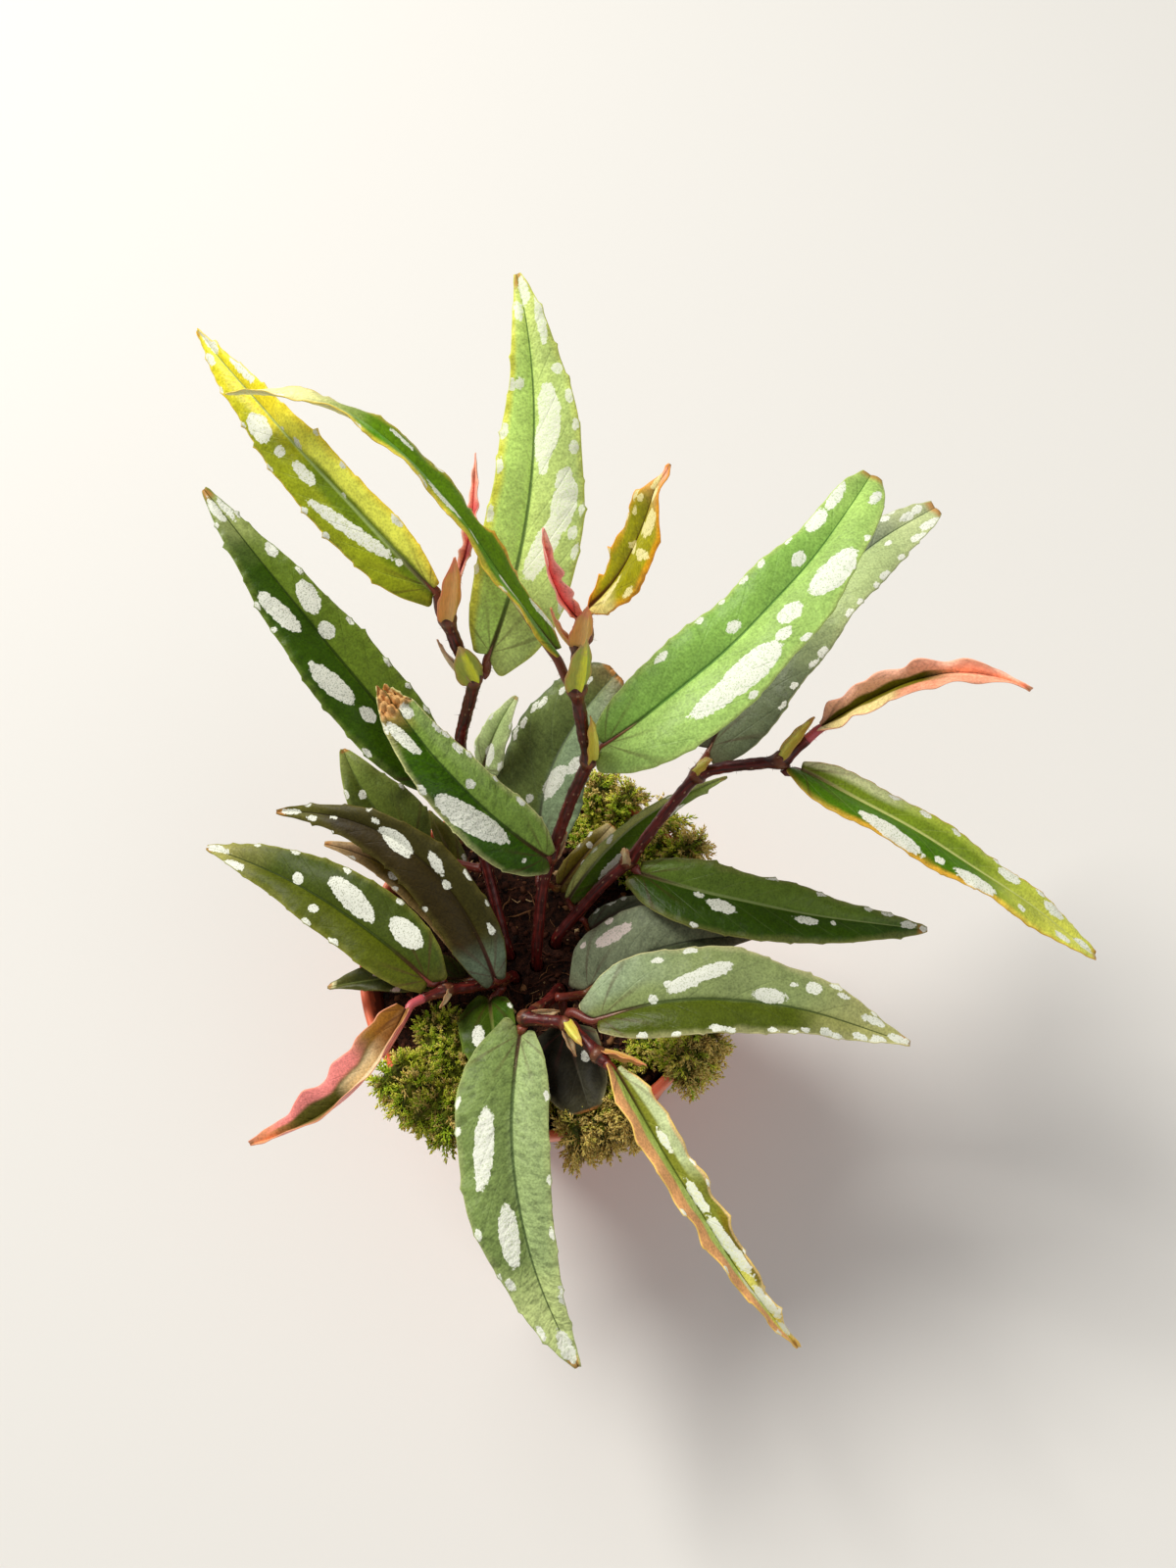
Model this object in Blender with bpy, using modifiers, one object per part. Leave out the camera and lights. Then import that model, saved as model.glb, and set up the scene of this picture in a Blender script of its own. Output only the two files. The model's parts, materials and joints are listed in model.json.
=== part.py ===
"""A potted begonia: five zigzag canes with spotted, wing-shaped leaves in a round plastic pot.

Lengths in the tables are millimetres and angles are degrees. The origin is the centre of the
pot's flat underside, +Z is up and the plant leans away towards +Y.
"""

import math
import random
from collections import namedtuple

import bmesh
import bpy
from mathutils import Quaternion, Vector, noise

MM = 0.001

# Pot: outer profile, wall and rim
POT_HEIGHT = 78.0
RIM_RADIUS = 45.0
LIP_WIDTH = 2.0
BAND_BOTTOM = 67.0
BAND_RADIUS = 43.9
WALL_TOP_RADIUS = 41.8
BASE_RADIUS = 32.0
WALL = 1.2
FLOOR = 1.6
DRAIN_HOLES = 6
DRAIN_RADIUS = 3.0
DRAIN_CIRCLE = 20.0
TURN_STEPS = 36

# Soil
SOIL_TOP = 71.0
SOIL_RELIEF = 0.5
SOIL_RINGS = 6
HOLE_BOTTOM = 46.0
GAP = 0.3

# Leaves
BLADE = 0.7
TIP_HALF = 0.6
TOOTH = 0.9
BULGE = 0.10
WAVES = 3.0
WAVE_HEIGHT = 0.035
LOBE_BACK = 0.16
WIDER = 0.18
WIDE_LEAF = 12.5
PETIOLE_RADIUS = 1.05
FULL_STALK_WIDTH = 12.0
RIB_END = 0.22
RIB_RADII = (0.85, 0.55)
SHEATH_BOW = 0.06
SHEATH_FOLD = 20

# Thin blades join cleanly only with this solver
THIN_SOLVER = "MANIFOLD"

# Half-width of a blade along its midrib, as (place, share of half the width)
WING = ((0.0, 0.42), (0.06, 0.74), (0.15, 0.95), (0.26, 1.0), (0.42, 0.95),
        (0.58, 0.80), (0.74, 0.57), (0.87, 0.35), (0.95, 0.19), (1.0, 0.07))
TAPER = ((0.0, 0.42), (0.06, 0.74), (0.15, 0.95), (0.26, 1.0), (0.42, 0.97),
         (0.58, 0.87), (0.74, 0.71), (0.87, 0.55), (0.95, 0.40), (1.0, 0.20))
BLUNT = ((0.0, 0.42), (0.08, 0.80), (0.22, 0.98), (0.40, 1.0), (0.60, 0.94),
         (0.78, 0.80), (0.90, 0.62), (0.97, 0.42), (1.0, 0.24))
YOUNG = ((0.0, 0.10), (0.08, 0.34), (0.22, 0.68), (0.42, 0.92), (0.62, 1.0), (0.78, 0.82),
         (0.88, 0.42), (0.94, 0.22), (1.0, 0.10))
STRAP = ((0.0, 0.35), (0.10, 0.80), (0.25, 1.0), (0.55, 0.92), (0.80, 0.60),
         (0.93, 0.26), (1.0, 0.05))

# Canes: points up the cane as (x, y, z, radius); a swollen point is a node
CANES = {
    "cane_tall": (
        (-1.4, -1.1, 48, 1.5), (-1.4, -1.1, 73.5, 1.5), (5.0, 10.5, 91, 1.5), (9.0, 14.5, 99, 1.9),
        (17.5, 19.0, 118, 1.5), (23.0, 20.2, 130, 2.0), (22.9, 21.5, 138, 1.5),
        (23.5, 24.0, 153, 2.2), (25.8, 26.2, 165, 1.8), (26.4, 26.8, 169, 1.2)),
    "cane_back": (
        (-7.7, 3.1, 48, 1.4), (-7.7, 3.1, 73.5, 1.4), (-7.4, 20.0, 89, 1.5),
        (-7.0, 34.5, 107, 1.8),
        (-4.6, 37.5, 122, 1.5), (3.6, 36.4, 146, 2.0), (2.2, 38.0, 155, 1.4),
        (2.0, 39.0, 165, 1.9), (3.4, 40.2, 171, 1.1)),
    "cane_right": (
        (4.3, 3.5, 48, 1.5), (4.3, 3.5, 73.5, 1.5), (11.1, 6.5, 79, 1.5), (19.0, 9.5, 86.5, 1.5),
        (26.7, 11.3, 92.5, 2.1), (35.4, 15.4, 102, 1.4), (46.2, 19.5, 113.5, 2.1),
        (52.8, 17.6, 117, 1.4), (63.4, 12.8, 123, 2.1), (69.5, 15.0, 126, 1.2)),
    "cane_front": (
        (3.1, -8.9, 48, 1.5), (3.1, -8.9, 73.5, 1.5), (1.2, -13.0, 79.5, 1.5), (-2.9, -17.0, 85, 1.6),
        (-5.4, -19.4, 89.5, 2.0), (4.7, -24.0, 93.5, 2.0), (10.1, -33.5, 96.0, 2.0),
        (11.4, -35.8, 96.6, 1.3)),
    "cane_left": (
        (-7.4, -3.0, 48, 1.4), (-7.4, -3.0, 73.5, 1.4), (-10.0, -5.0, 77, 1.7), (-16.5, -6.3, 81, 1.5),
        (-22.5, -7.4, 86.5, 1.9), (-27.5, -9.6, 90.5, 1.1)),
}

# Each leaf: the cane and the point of it that the petiole leaves (-1 is the cane's end), the blade's
# base and tip, its width, how far its midrib bows up and to the right, its colour, how late along it
# the bow lies, its roll, which half is wider (1 is the right), the fold of its halves in degrees, its
# outline and its sections
Leaf = namedtuple(
    "Leaf",
    "name cane point base tip width arch sweep colour late roll lobe fold outline sections",
    defaults=(0, 0, 1, 8, WING, 16))

GREEN = (0.14, 0.30, 0.07)
PALE = (0.33, 0.44, 0.17)
LIME = (0.42, 0.47, 0.06)
DARK = (0.045, 0.10, 0.03)
OLIVE = (0.09, 0.10, 0.02)
BROWN = (0.07, 0.045, 0.012)
GREY = (0.09, 0.12, 0.085)
AMBER = (0.40, 0.25, 0.02)
PINK = (0.62, 0.18, 0.13)

LEAVES = (
    Leaf("leaf_right_large", "cane_tall", 5, (27, 22, 132), (96, 61.5, 150), 23, 5, 7, PALE,
         outline=TAPER, sections=18),
    Leaf("leaf_right_pale", "cane_right", 6, (51, 27, 110), (116, 67, 126), 21, 5, -5, PALE,
         outline=TAPER),
    Leaf("leaf_upright", "cane_back", 5, (8, 38.5, 151), (31, 99, 190), 20, 3, 6, PALE,
         roll=12, sections=18),
    Leaf("leaf_upper_left", "cane_back", 7, (0.5, 44, 169), (-35, 107, 188), 13.5, 6, 1.5, LIME,
         roll=-35, lobe=-1, fold=10, sections=18),
    Leaf("leaf_arching", "cane_tall", 7, (21, 31, 158), (-28.2, 80.9, 193), 11, 12, 0, GREEN,
         late=0.6, roll=40, lobe=-0.5, fold=14, outline=TAPER, sections=18),
    Leaf("leaf_left_dark", "cane_back", 3, (-12.5, 36.5, 109), (-50, 104, 148), 19, 4, -1, DARK,
         lobe=-0.5, sections=18),
    Leaf("leaf_brown_tip", "cane_tall", 3, (8, 12, 105), (-18, 48, 136), 16, 5, -4, GREEN,
         lobe=-0.6, outline=TAPER),
    Leaf("leaf_inner_grey", "cane_tall", 2, (6, 20, 93), (34, 46, 120), 23, 3, -4, GREY,
         lobe=-0.5, outline=BLUNT, sections=14),
    Leaf("leaf_right_dark", "cane_right", 4, (29, 7.5, 92), (90, -20, 87), 17, 4, 3.5, DARK, lobe=0.8),
    Leaf("leaf_far_right", "cane_right", 8, (67, 10, 122), (117, -39, 104), 14, 5, 2, GREEN,
         roll=-20, fold=10, outline=TAPER),
    Leaf("leaf_inner_narrow", "cane_right", 2, (10.5, 11.5, 79), (55, 27, 93), 8, 2, -6, DARK,
         roll=50, fold=25, sections=12),
    Leaf("leaf_front_right", "cane_front", 5, (12, -26, 98), (76.5, -45.5, 91), 20, 4, -5.5, GREEN,
         late=-0.2, lobe=-1, sections=18),
    Leaf("leaf_under_front", "cane_front", 2, (10, -12.5, 78), (51, -12.5, 87), 20, 4, -3, GREY,
         lobe=-1, sections=14),
    Leaf("leaf_front", "cane_front", 4, (-7, -22.5, 87.5), (-9, -91.5, 74), 21, 6, 6, GREEN,
         sections=18),
    Leaf("leaf_folded_front", "cane_front", -1, (13, -38, 97), (37, -97.5, 76), 12, 6, 5, LIME,
         late=0.4, roll=-25, fold=35),
    Leaf("leaf_low_left", "cane_left", 4, (-26, -5, 89), (-75, 41, 93), 18, 5, 3, OLIVE, lobe=0.8),
    Leaf("leaf_left_brown", "cane_left", 2, (-11, -6, 84), (-54, 41.5, 102), 14, 6, 13, BROWN,
         roll=-20, lobe=-0.5),
    Leaf("leaf_left_under", "cane_left", 2, (-14.5, -0.5, 79.5), (-46, 35.5, 91), 12, 4, 5, BROWN,
         sections=12),
    Leaf("leaf_back_olive", "cane_back", 2, (-24, 28, 92), (-35, 52, 106), 16, 2, -2, OLIVE,
         sections=12),
    Leaf("leaf_back_small", "cane_back", 3, (-2, 39, 104), (10, 46.5, 120), 10, 2, 0, PALE, sections=8),
    Leaf("leaf_low_inner", "cane_tall", 2, (9, 16, 77), (25, 27, 81), 8, 1, 0, OLIVE,
         outline=BLUNT, sections=8),
    Leaf("leaf_low_grey", "cane_right", 2, (14, 3, 76), (28, 6, 80), 8, 1, 0, GREY,
         outline=BLUNT, sections=8),
    Leaf("leaf_low_front", "cane_left", 2, (-14, -9, 75.5), (-13, -37, 84), 14, 3, 0, DARK,
         sections=10),
    Leaf("leaf_low_left_small", "cane_left", 2, (-20, -2, 76), (-51, 1, 84), 10, 4, 0, DARK,
         sections=10),
    Leaf("leaf_flat_dark", "cane_front", 1, (3, -21, 77), (5, -42, 83.5), 17, 2, 0, DARK,
         fold=5, outline=BLUNT, sections=10),
    Leaf("leaf_back_tiny", "cane_back", 1, (-15, 23, 84), (-19, 38, 91), 6, 1, 0, OLIVE, sections=6),
    Leaf("young_amber", "cane_tall", 8, (29, 28.5, 172), (44.5, 30.5, 203), 14, -2, 1.5, AMBER,
         lobe=2, fold=15, outline=YOUNG, sections=12),
    Leaf("shoot_pink", "cane_tall", -1, (26.5, 27.3, 172), (24, 32, 193), 5, 0, -2, PINK,
         fold=60, outline=STRAP, sections=8),
    Leaf("shoot_pink_left", "cane_back", -1, (6.4, 43.4, 171.3), (14.4, 77.1, 167), 3.8, -4.0, 0, PINK,
         fold=45, outline=STRAP, sections=10),
    Leaf("young_pink_right", "cane_right", -1, (73, 16, 128.5), (110, 4, 146), 12, 5, -5, PINK,
         late=0.5, roll=20, fold=55, outline=STRAP, sections=12),
    Leaf("young_pink_left", "cane_left", -1, (-31, -12, 93), (-69.5, -34, 93), 12, 0, -8, PINK,
         roll=20, fold=50, outline=STRAP, sections=12),
)

# Papery stipules: the cane, the point, the heading round the cane, length, width and outward lean
STIPULES = (
    ("cane_tall", 3, 20, 9, 4, 8), ("cane_tall", 5, 325, 17, 4.5, 6), ("cane_tall", 7, 290, 17, 6, 4),
    ("cane_tall", 8, 280, 15, 5, 13), ("cane_tall", 8, 190, 13, 3, 20),
    ("cane_back", 5, 295, 14, 6.5, 8), ("cane_back", 5, 200, 16, 4, 6), ("cane_back", 7, 300, 18, 5.5, 6),
    ("cane_right", 4, 205, 7, 4.5, 32), ("cane_right", 6, 165, 8, 4, 28),
    ("cane_right", 8, 190, 13, 4.5, 12), ("cane_front", 4, 350, 9, 3, 40),
    ("cane_front", 5, 125, 10, 3, 17), ("cane_front", 5, 285, 8, 3.5, 28),
    ("cane_front", 6, 75, 12, 5, 24), ("cane_left", 4, 320, 7, 4, 30),
)

# Moss: the headings it spans, its middle and reach from the pot's axis, its thickness, and the
# headings of the strands that hang over the rim
MOSS = {
    "moss_left": (196, 254, 31, 9, 5, (211, 218, 226, 233)),
    "moss_front": (258, 298, 35, 5, 3, (271, 278, 286)),
    "moss_right": (298, 328, 35, 5, 4, (307, 312, 318)),
    "moss_back": (12, 68, 35, 6, 4, (22, 33, 49, 58)),
}
MOSS_COLOUR = (0.30, 0.36, 0.02)


def material(name, colour, roughness):
    made = bpy.data.materials.new(name)
    made.use_nodes = True
    shader = made.node_tree.nodes["Principled BSDF"]
    shader.inputs["Base Color"].default_value = (*colour, 1)
    shader.inputs["Roughness"].default_value = roughness
    shader.inputs["Metallic"].default_value = 0.0
    return made


def new_object(name, mesh, collection, look=None):
    made = bpy.data.objects.new(name, mesh)
    collection.objects.link(made)
    if look:
        mesh.materials.clear()
        mesh.materials.append(look)
    return made


def evaluated_mesh(obj):
    """The object's mesh with its modifiers, in world space and welded."""
    graph = bpy.context.evaluated_depsgraph_get()
    mesh = bpy.data.meshes.new_from_object(obj.evaluated_get(graph))
    mesh.transform(obj.matrix_world)
    bm = bmesh.new()
    bm.from_mesh(mesh)
    bmesh.ops.remove_doubles(bm, verts=bm.verts, dist=1e-6)
    bm.to_mesh(mesh)
    bm.free()
    return mesh


def bake(obj):
    """Replaces the object by one with its modifiers applied."""
    name, look = obj.name, obj.active_material
    collection = obj.users_collection[0]
    mesh = evaluated_mesh(obj)
    bpy.data.objects.remove(obj)
    return new_object(name, mesh, collection, look)


def tube(name, points, radii, collection, look=None, sides=1):
    """A closed tube through points in millimetres."""
    curve = bpy.data.curves.new(name, "CURVE")
    curve.dimensions = "3D"
    curve.bevel_depth = MM
    curve.bevel_resolution = sides
    curve.use_fill_caps = True
    spline = curve.splines.new("POLY")
    spline.points.add(len(points) - 1)
    for place, point, radius in zip(spline.points, points, radii):
        place.co = (*(Vector(point) * MM), 1)
        place.radius = radius
    made = new_object(name, curve, collection)
    bpy.context.view_layer.update()
    baked = bake(made)
    if look:
        baked.data.materials.append(look)
    return baked


def fuse(obj, others, operation="UNION", solver="EXACT"):
    """Joins the others to the object, or cuts them from it, and removes them."""
    if not others:
        return obj
    group = bpy.data.collections.new(obj.name + "_group")
    bpy.context.scene.collection.children.link(group)
    for other in others:
        for old in list(other.users_collection):
            old.objects.unlink(other)
        group.objects.link(other)
    boolean = obj.modifiers.new("Fuse", "BOOLEAN")
    boolean.operation = operation
    boolean.operand_type = "COLLECTION"
    boolean.collection = group
    boolean.solver = solver
    bpy.context.view_layer.update()
    made = bake(obj)
    for other in others:
        bpy.data.objects.remove(other)
    bpy.data.collections.remove(group)
    return made


def smooth_table(table, at):
    """Reads a table of (place, value) rows with a smooth curve through its rows."""
    at = min(max(at, table[0][0]), table[-1][0])
    step = 0
    while step < len(table) - 2 and at > table[step + 1][0]:
        step += 1
    (x0, y0), (x1, y1) = table[step], table[step + 1]
    before = table[max(step - 1, 0)]
    after = table[min(step + 2, len(table) - 1)]
    span = x1 - x0
    slope0 = (y1 - before[1]) / (x1 - before[0]) * span
    slope1 = (after[1] - y0) / (after[0] - x0) * span
    t = (at - x0) / span
    return ((2 * t**3 - 3 * t**2 + 1) * y0 + (t**3 - 2 * t**2 + t) * slope0
            + (3 * t**2 - 2 * t**3) * y1 + (t**3 - t**2) * slope1)


def midrib_frame(leaf, s):
    """Point, direction, rightward and upward vectors on the midrib at share s of its length."""
    base, tip = Vector(leaf.base), Vector(leaf.tip)
    along = (tip - base).normalized()
    up = (Vector((0, 0, 1)) - along * along.z).normalized()
    up.rotate(Quaternion(along, math.radians(leaf.roll)))
    side = along.cross(up)
    bow = 4 * s * (1 - s) * (1 + leaf.late * (2 * s - 1))
    middle = base.lerp(tip, s) + up * (leaf.arch * bow) + side * (leaf.sweep * bow)
    lean = 4 * (1 - 2 * s) * (1 + leaf.late * (2 * s - 1)) + 8 * s * (1 - s) * leaf.late
    direction = (tip - base + up * (leaf.arch * lean) + side * (leaf.sweep * lean)).normalized()
    right = (side - direction * side.dot(direction)).normalized()
    return middle, direction, right, right.cross(direction)


def lobe_back(leaf):
    """How far the lobes at the blade's base reach behind it, as a share of its width."""
    return LOBE_BACK if leaf.outline in (WING, BLUNT) else 0.0


def blade_point(leaf, s, v, tooth=0.0):
    """A point of the blade: s along the midrib, v across it from -1 (left) to 1 (right)."""
    middle, direction, right, normal = midrib_frame(leaf, s)
    hand = math.copysign(1, v) if v else 0
    across = abs(v)
    larger = hand * leaf.lobe
    half = leaf.width / 2 * smooth_table(leaf.outline, s) * (1 + WIDER * larger) + tooth * across
    half = max(half, TIP_HALF)
    back = -leaf.width * lobe_back(leaf) * (1 + 0.6 * larger) * across * (1 - s) ** 8
    fold = math.radians(leaf.fold)
    wave = WAVE_HEIGHT * leaf.width * math.sin(math.tau * WAVES * s + 1.3 * hand + leaf.width)
    height = half * (across * math.sin(fold) + BULGE * math.sin(math.pi * across)) + wave * across**2
    return middle + direction * back + right * (hand * half * across * math.cos(fold)) + normal * height


def toothed_margin(leaf, s, v):
    """How far out the margin stands at this section, and how far forward its tooth points."""
    section = round(s * leaf.sections)
    if abs(v) < 0.99 or section in (0, leaf.sections):
        return 0.0, s
    if section % 2:
        return 0.6 * TOOTH, s + 0.15 / leaf.sections
    return -0.4 * TOOTH, s


def blade(leaf, collection, look=None, toothed=True):
    """The blade as a thin solid: an arched grid, with a toothed margin on a true leaf."""
    bm = bmesh.new()
    columns = 4 if leaf.width > WIDE_LEAF else 2
    bmesh.ops.create_grid(bm, x_segments=leaf.sections, y_segments=columns, size=1)
    for vertex in bm.verts:
        s, v, tooth = (vertex.co.x + 1) / 2, round(vertex.co.y, 3), 0.0
        if toothed:
            tooth, s = toothed_margin(leaf, s, v)
        vertex.co = blade_point(leaf, min(s, 1.0), v, tooth) * MM
    bmesh.ops.triangulate(bm, faces=bm.faces)
    mesh = bpy.data.meshes.new(leaf.name)
    bm.to_mesh(mesh)
    bm.free()
    made = new_object(leaf.name, mesh, collection, look)
    solidify = made.modifiers.new("Thickness", "SOLIDIFY")
    solidify.thickness = BLADE * MM
    solidify.offset = 0
    bpy.context.view_layer.update()
    return bake(made)


def cane_direction(points, index):
    low = Vector(points[max(index - 1, 0)][:3])
    high = Vector(points[min(index + 1, len(points) - 1)][:3])
    return (high - low).normalized()


def petiole(leaf, collection):
    """The leaf's stalk, from just off its cane to a rib sunk in the blade's underside."""
    points = CANES[leaf.cane]
    index = leaf.point % len(points)
    node, radius = Vector(points[index][:3]), points[index][3]
    axis = cane_direction(points, index)
    base, into, _, normal = midrib_frame(leaf, 0)
    if leaf.point < 0:
        out = axis
        foot = node + axis * GAP
    else:
        towards = base - node
        out = (towards - axis * towards.dot(axis)).normalized()
        foot = node + out * (radius + GAP)
    reach = (base - foot).length
    first = foot + out * min(1.2, 0.3 * reach)
    last = base - into * min(2.0, 0.3 * reach) - normal * 0.5
    path = [foot, first, last, base - normal * 0.5]
    radii = [PETIOLE_RADIUS] * len(path) + list(RIB_RADII)
    for s in (0.5 * RIB_END, RIB_END):
        middle, _, _, up = midrib_frame(leaf, s)
        path.append(middle - up * 0.4)
    if leaf.point < 0:
        radii[0] = points[index][3]
    scale = min(1.0, leaf.width / FULL_STALK_WIDTH)
    return tube(leaf.name + "_stalk", path, [r * scale for r in radii], collection, sides=0)


def make_leaf(leaf, collection, look):
    body = blade(leaf, collection, look)
    return fuse(body, [petiole(leaf, collection)], solver=THIN_SOLVER)


def stipule(cane, index, heading, length, width, lean, collection):
    """A papery sheath: a small boat-shaped blade sunk in the cane's node, along the cane above it."""
    points = CANES[cane]
    axis = (Vector(points[index + 1][:3]) - Vector(points[index][:3])).normalized()
    across = Vector((math.cos(math.radians(heading)), math.sin(math.radians(heading)), 0))
    out = (across - axis * across.dot(axis)).normalized()
    start = Vector(points[index][:3]) + out * (0.5 * points[index][3]) - axis
    lean = math.radians(lean)
    end = start + (axis * math.cos(lean) + out * math.sin(lean)) * length
    sheath = Leaf("stipule", cane, index, start, end, width, -SHEATH_BOW * length, 0, None,
                  lobe=0, fold=SHEATH_FOLD, outline=STRAP, sections=6)
    turned = sheath._replace(roll=roll_towards(sheath, -out))
    return blade(turned, collection, toothed=False)


def roll_towards(leaf, wanted):
    """The roll, in degrees, that turns the blade's upper face to the wanted direction."""
    _, direction, right, normal = midrib_frame(leaf._replace(arch=0), 0.5)
    return math.degrees(math.atan2(wanted.dot(right), wanted.dot(normal)))


def make_cane(name, collection, look):
    points = CANES[name]
    body = tube(name, [p[:3] for p in points], [p[3] for p in points], collection, look, sides=1)
    sheaths = [stipule(*row, collection) for row in STIPULES if row[0] == name]
    return fuse(body, sheaths, solver=THIN_SOLVER)


def turned_solid(name, profile, collection, look):
    """A solid of revolution from a profile of (radius, height) in millimetres."""
    bm = bmesh.new()
    corners = [bm.verts.new((radius * MM, 0, height * MM)) for radius, height in profile]
    for low, high in zip(corners, corners[1:]):
        bm.edges.new((low, high))
    mesh = bpy.data.meshes.new(name)
    bm.to_mesh(mesh)
    bm.free()
    made = new_object(name, mesh, collection, look)
    screw = made.modifiers.new("Turn", "SCREW")
    screw.steps = screw.render_steps = TURN_STEPS
    screw.use_merge_vertices = True
    screw.merge_threshold = 0.0001
    bpy.context.view_layer.update()
    return bake(made)


def cylinder(name, x, y, low, high, radius, sides, collection):
    mesh = bpy.data.meshes.new(name)
    bm = bmesh.new()
    bmesh.ops.create_cone(bm, cap_ends=True, segments=sides, radius1=radius * MM,
                          radius2=radius * MM, depth=(high - low) * MM)
    bm.to_mesh(mesh)
    bm.free()
    made = new_object(name, mesh, collection)
    made.location = Vector((x, y, (low + high) / 2)) * MM
    bpy.context.view_layer.update()
    return made


def inner_radius(height):
    """The pot's inner wall below its rim band."""
    share = (height - FLOOR) / (BAND_BOTTOM - FLOOR)
    return BASE_RADIUS - WALL + share * (WALL_TOP_RADIUS - BASE_RADIUS)


def pot_profile():
    """From the floor's middle up the inside, over the rolled lip and down the outside."""
    lip = RIM_RADIUS - LIP_WIDTH
    inside = ((0, FLOOR), (inner_radius(FLOOR), FLOOR), (inner_radius(BAND_BOTTOM), BAND_BOTTOM),
              (BAND_RADIUS - 2 * WALL, BAND_BOTTOM + 1.5), (lip - 0.3, POT_HEIGHT - 2))
    rolled = ((lip + 0.3, POT_HEIGHT - 0.2), (lip + 0.6, POT_HEIGHT),
              (RIM_RADIUS - 0.6, POT_HEIGHT), (RIM_RADIUS, POT_HEIGHT - 0.6),
              (RIM_RADIUS, POT_HEIGHT - 2.2), (RIM_RADIUS - 0.7, POT_HEIGHT - 2.8))
    outside = ((BAND_RADIUS, BAND_BOTTOM), (BAND_RADIUS - 0.4, BAND_BOTTOM - 0.5),
               (WALL_TOP_RADIUS, BAND_BOTTOM - 0.8), (BASE_RADIUS + 0.3, 1.2),
               (BASE_RADIUS - 0.9, 0), (0, 0))
    return inside + rolled + outside


def make_pot(collection):
    look = material("pot plastic", (0.86, 0.20, 0.075), 0.38)
    pot = turned_solid("pot", pot_profile(), collection, look)
    drains = []
    for index in range(DRAIN_HOLES):
        angle = math.tau * index / DRAIN_HOLES
        x, y = DRAIN_CIRCLE * math.cos(angle), DRAIN_CIRCLE * math.sin(angle)
        drains.append(cylinder("drain", x, y, -1, FLOOR + 1, DRAIN_RADIUS, 16, collection))
    return fuse(pot, drains, "DIFFERENCE")


def soil_height(x, y):
    """The soil's top, in millimetres, with its gentle relief."""
    return SOIL_TOP + SOIL_RELIEF * noise.noise(Vector((x / 9, y / 9, 3.1)))


def soil_profile():
    """From the middle of the top out along its rings and down the pot's inside."""
    edge = BAND_RADIUS - 2 * WALL - GAP - 0.4
    low = FLOOR + GAP
    top = tuple((edge * ring / SOIL_RINGS, SOIL_TOP) for ring in range(SOIL_RINGS + 1))
    return top + ((edge, BAND_BOTTOM + 1.5), (inner_radius(BAND_BOTTOM) - GAP, BAND_BOTTOM - 0.4),
                  (inner_radius(FLOOR) - GAP - 0.1, low), (0, low))


def make_soil(collection):
    look = material("soil", (0.035, 0.016, 0.010), 0.95)
    soil = turned_solid("soil", soil_profile(), collection, look)
    for vertex in soil.data.vertices:
        if vertex.co.z > (SOIL_TOP - 1) * MM:
            vertex.co.z = soil_height(vertex.co.x / MM, vertex.co.y / MM) * MM
    holes = []
    for points in CANES.values():
        x, y, _, radius = points[0]
        holes.append(cylinder("hole", x, y, HOLE_BOTTOM, 90, radius + GAP + 0.1, 12, collection))
    return fuse(soil, holes, "DIFFERENCE")


def moss_cushion(name, start, end, middle, reach, thickness, collection, look):
    """A low bumpy cushion that lies on the soil along the rim."""
    bm = bmesh.new()
    bmesh.ops.create_uvsphere(bm, u_segments=14, v_segments=8, radius=1)
    for vertex in bm.verts:
        bump = 1 + 0.35 * noise.noise(vertex.co * 2.3 + Vector((start, end, 0)))
        angle = math.radians((start + end) / 2 + vertex.co.x * bump * (end - start) / 2)
        radius = min(middle + vertex.co.y * reach * bump, RIM_RADIUS - LIP_WIDTH - 2.6)
        x, y = radius * math.cos(angle), radius * math.sin(angle)
        rise = max(vertex.co.z, 0) * thickness * bump + 0.15 * vertex.co.z
        vertex.co = Vector((x, y, soil_height(x, y) + 0.75 + rise)) * MM
    bmesh.ops.recalc_face_normals(bm, faces=bm.faces)
    mesh = bpy.data.meshes.new(name)
    bm.to_mesh(mesh)
    bm.free()
    return new_object(name, mesh, collection, look)


def moss_strand(heading, rng, collection):
    """A tuft of moss that climbs from the soil over the rim and hangs outside it."""
    drop = rng.uniform(3, 9)
    section = ((34, SOIL_TOP + 2.6), (39.4, SOIL_TOP + 4.4), (41.2, POT_HEIGHT + 2.0),
               (44.2, POT_HEIGHT + 3.2), (47.2, POT_HEIGHT + 1.6), (48.4, POT_HEIGHT - 0.5 * drop),
               (48.2, POT_HEIGHT - drop))
    radii = (1.6, 1.8, 2.0, 2.1, 2.0, 1.6, 0.8)
    path = []
    for row, (radius, height) in enumerate(section):
        angle = math.radians(heading + rng.uniform(-1.6, 1.6) * min(row, 3) / 3)
        path.append((radius * math.cos(angle), radius * math.sin(angle), height))
    return tube("strand", path, radii, collection, sides=0)


def make_moss(name, row, collection, look, rng):
    body = moss_cushion(name, *row[:5], collection, look)
    strands = [moss_strand(heading, rng, collection) for heading in row[5]]
    return fuse(body, strands)


def smooth_shade(obj, angle):
    obj.data.shade_smooth()
    obj.data.set_sharp_from_angle(angle=math.radians(angle))


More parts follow.
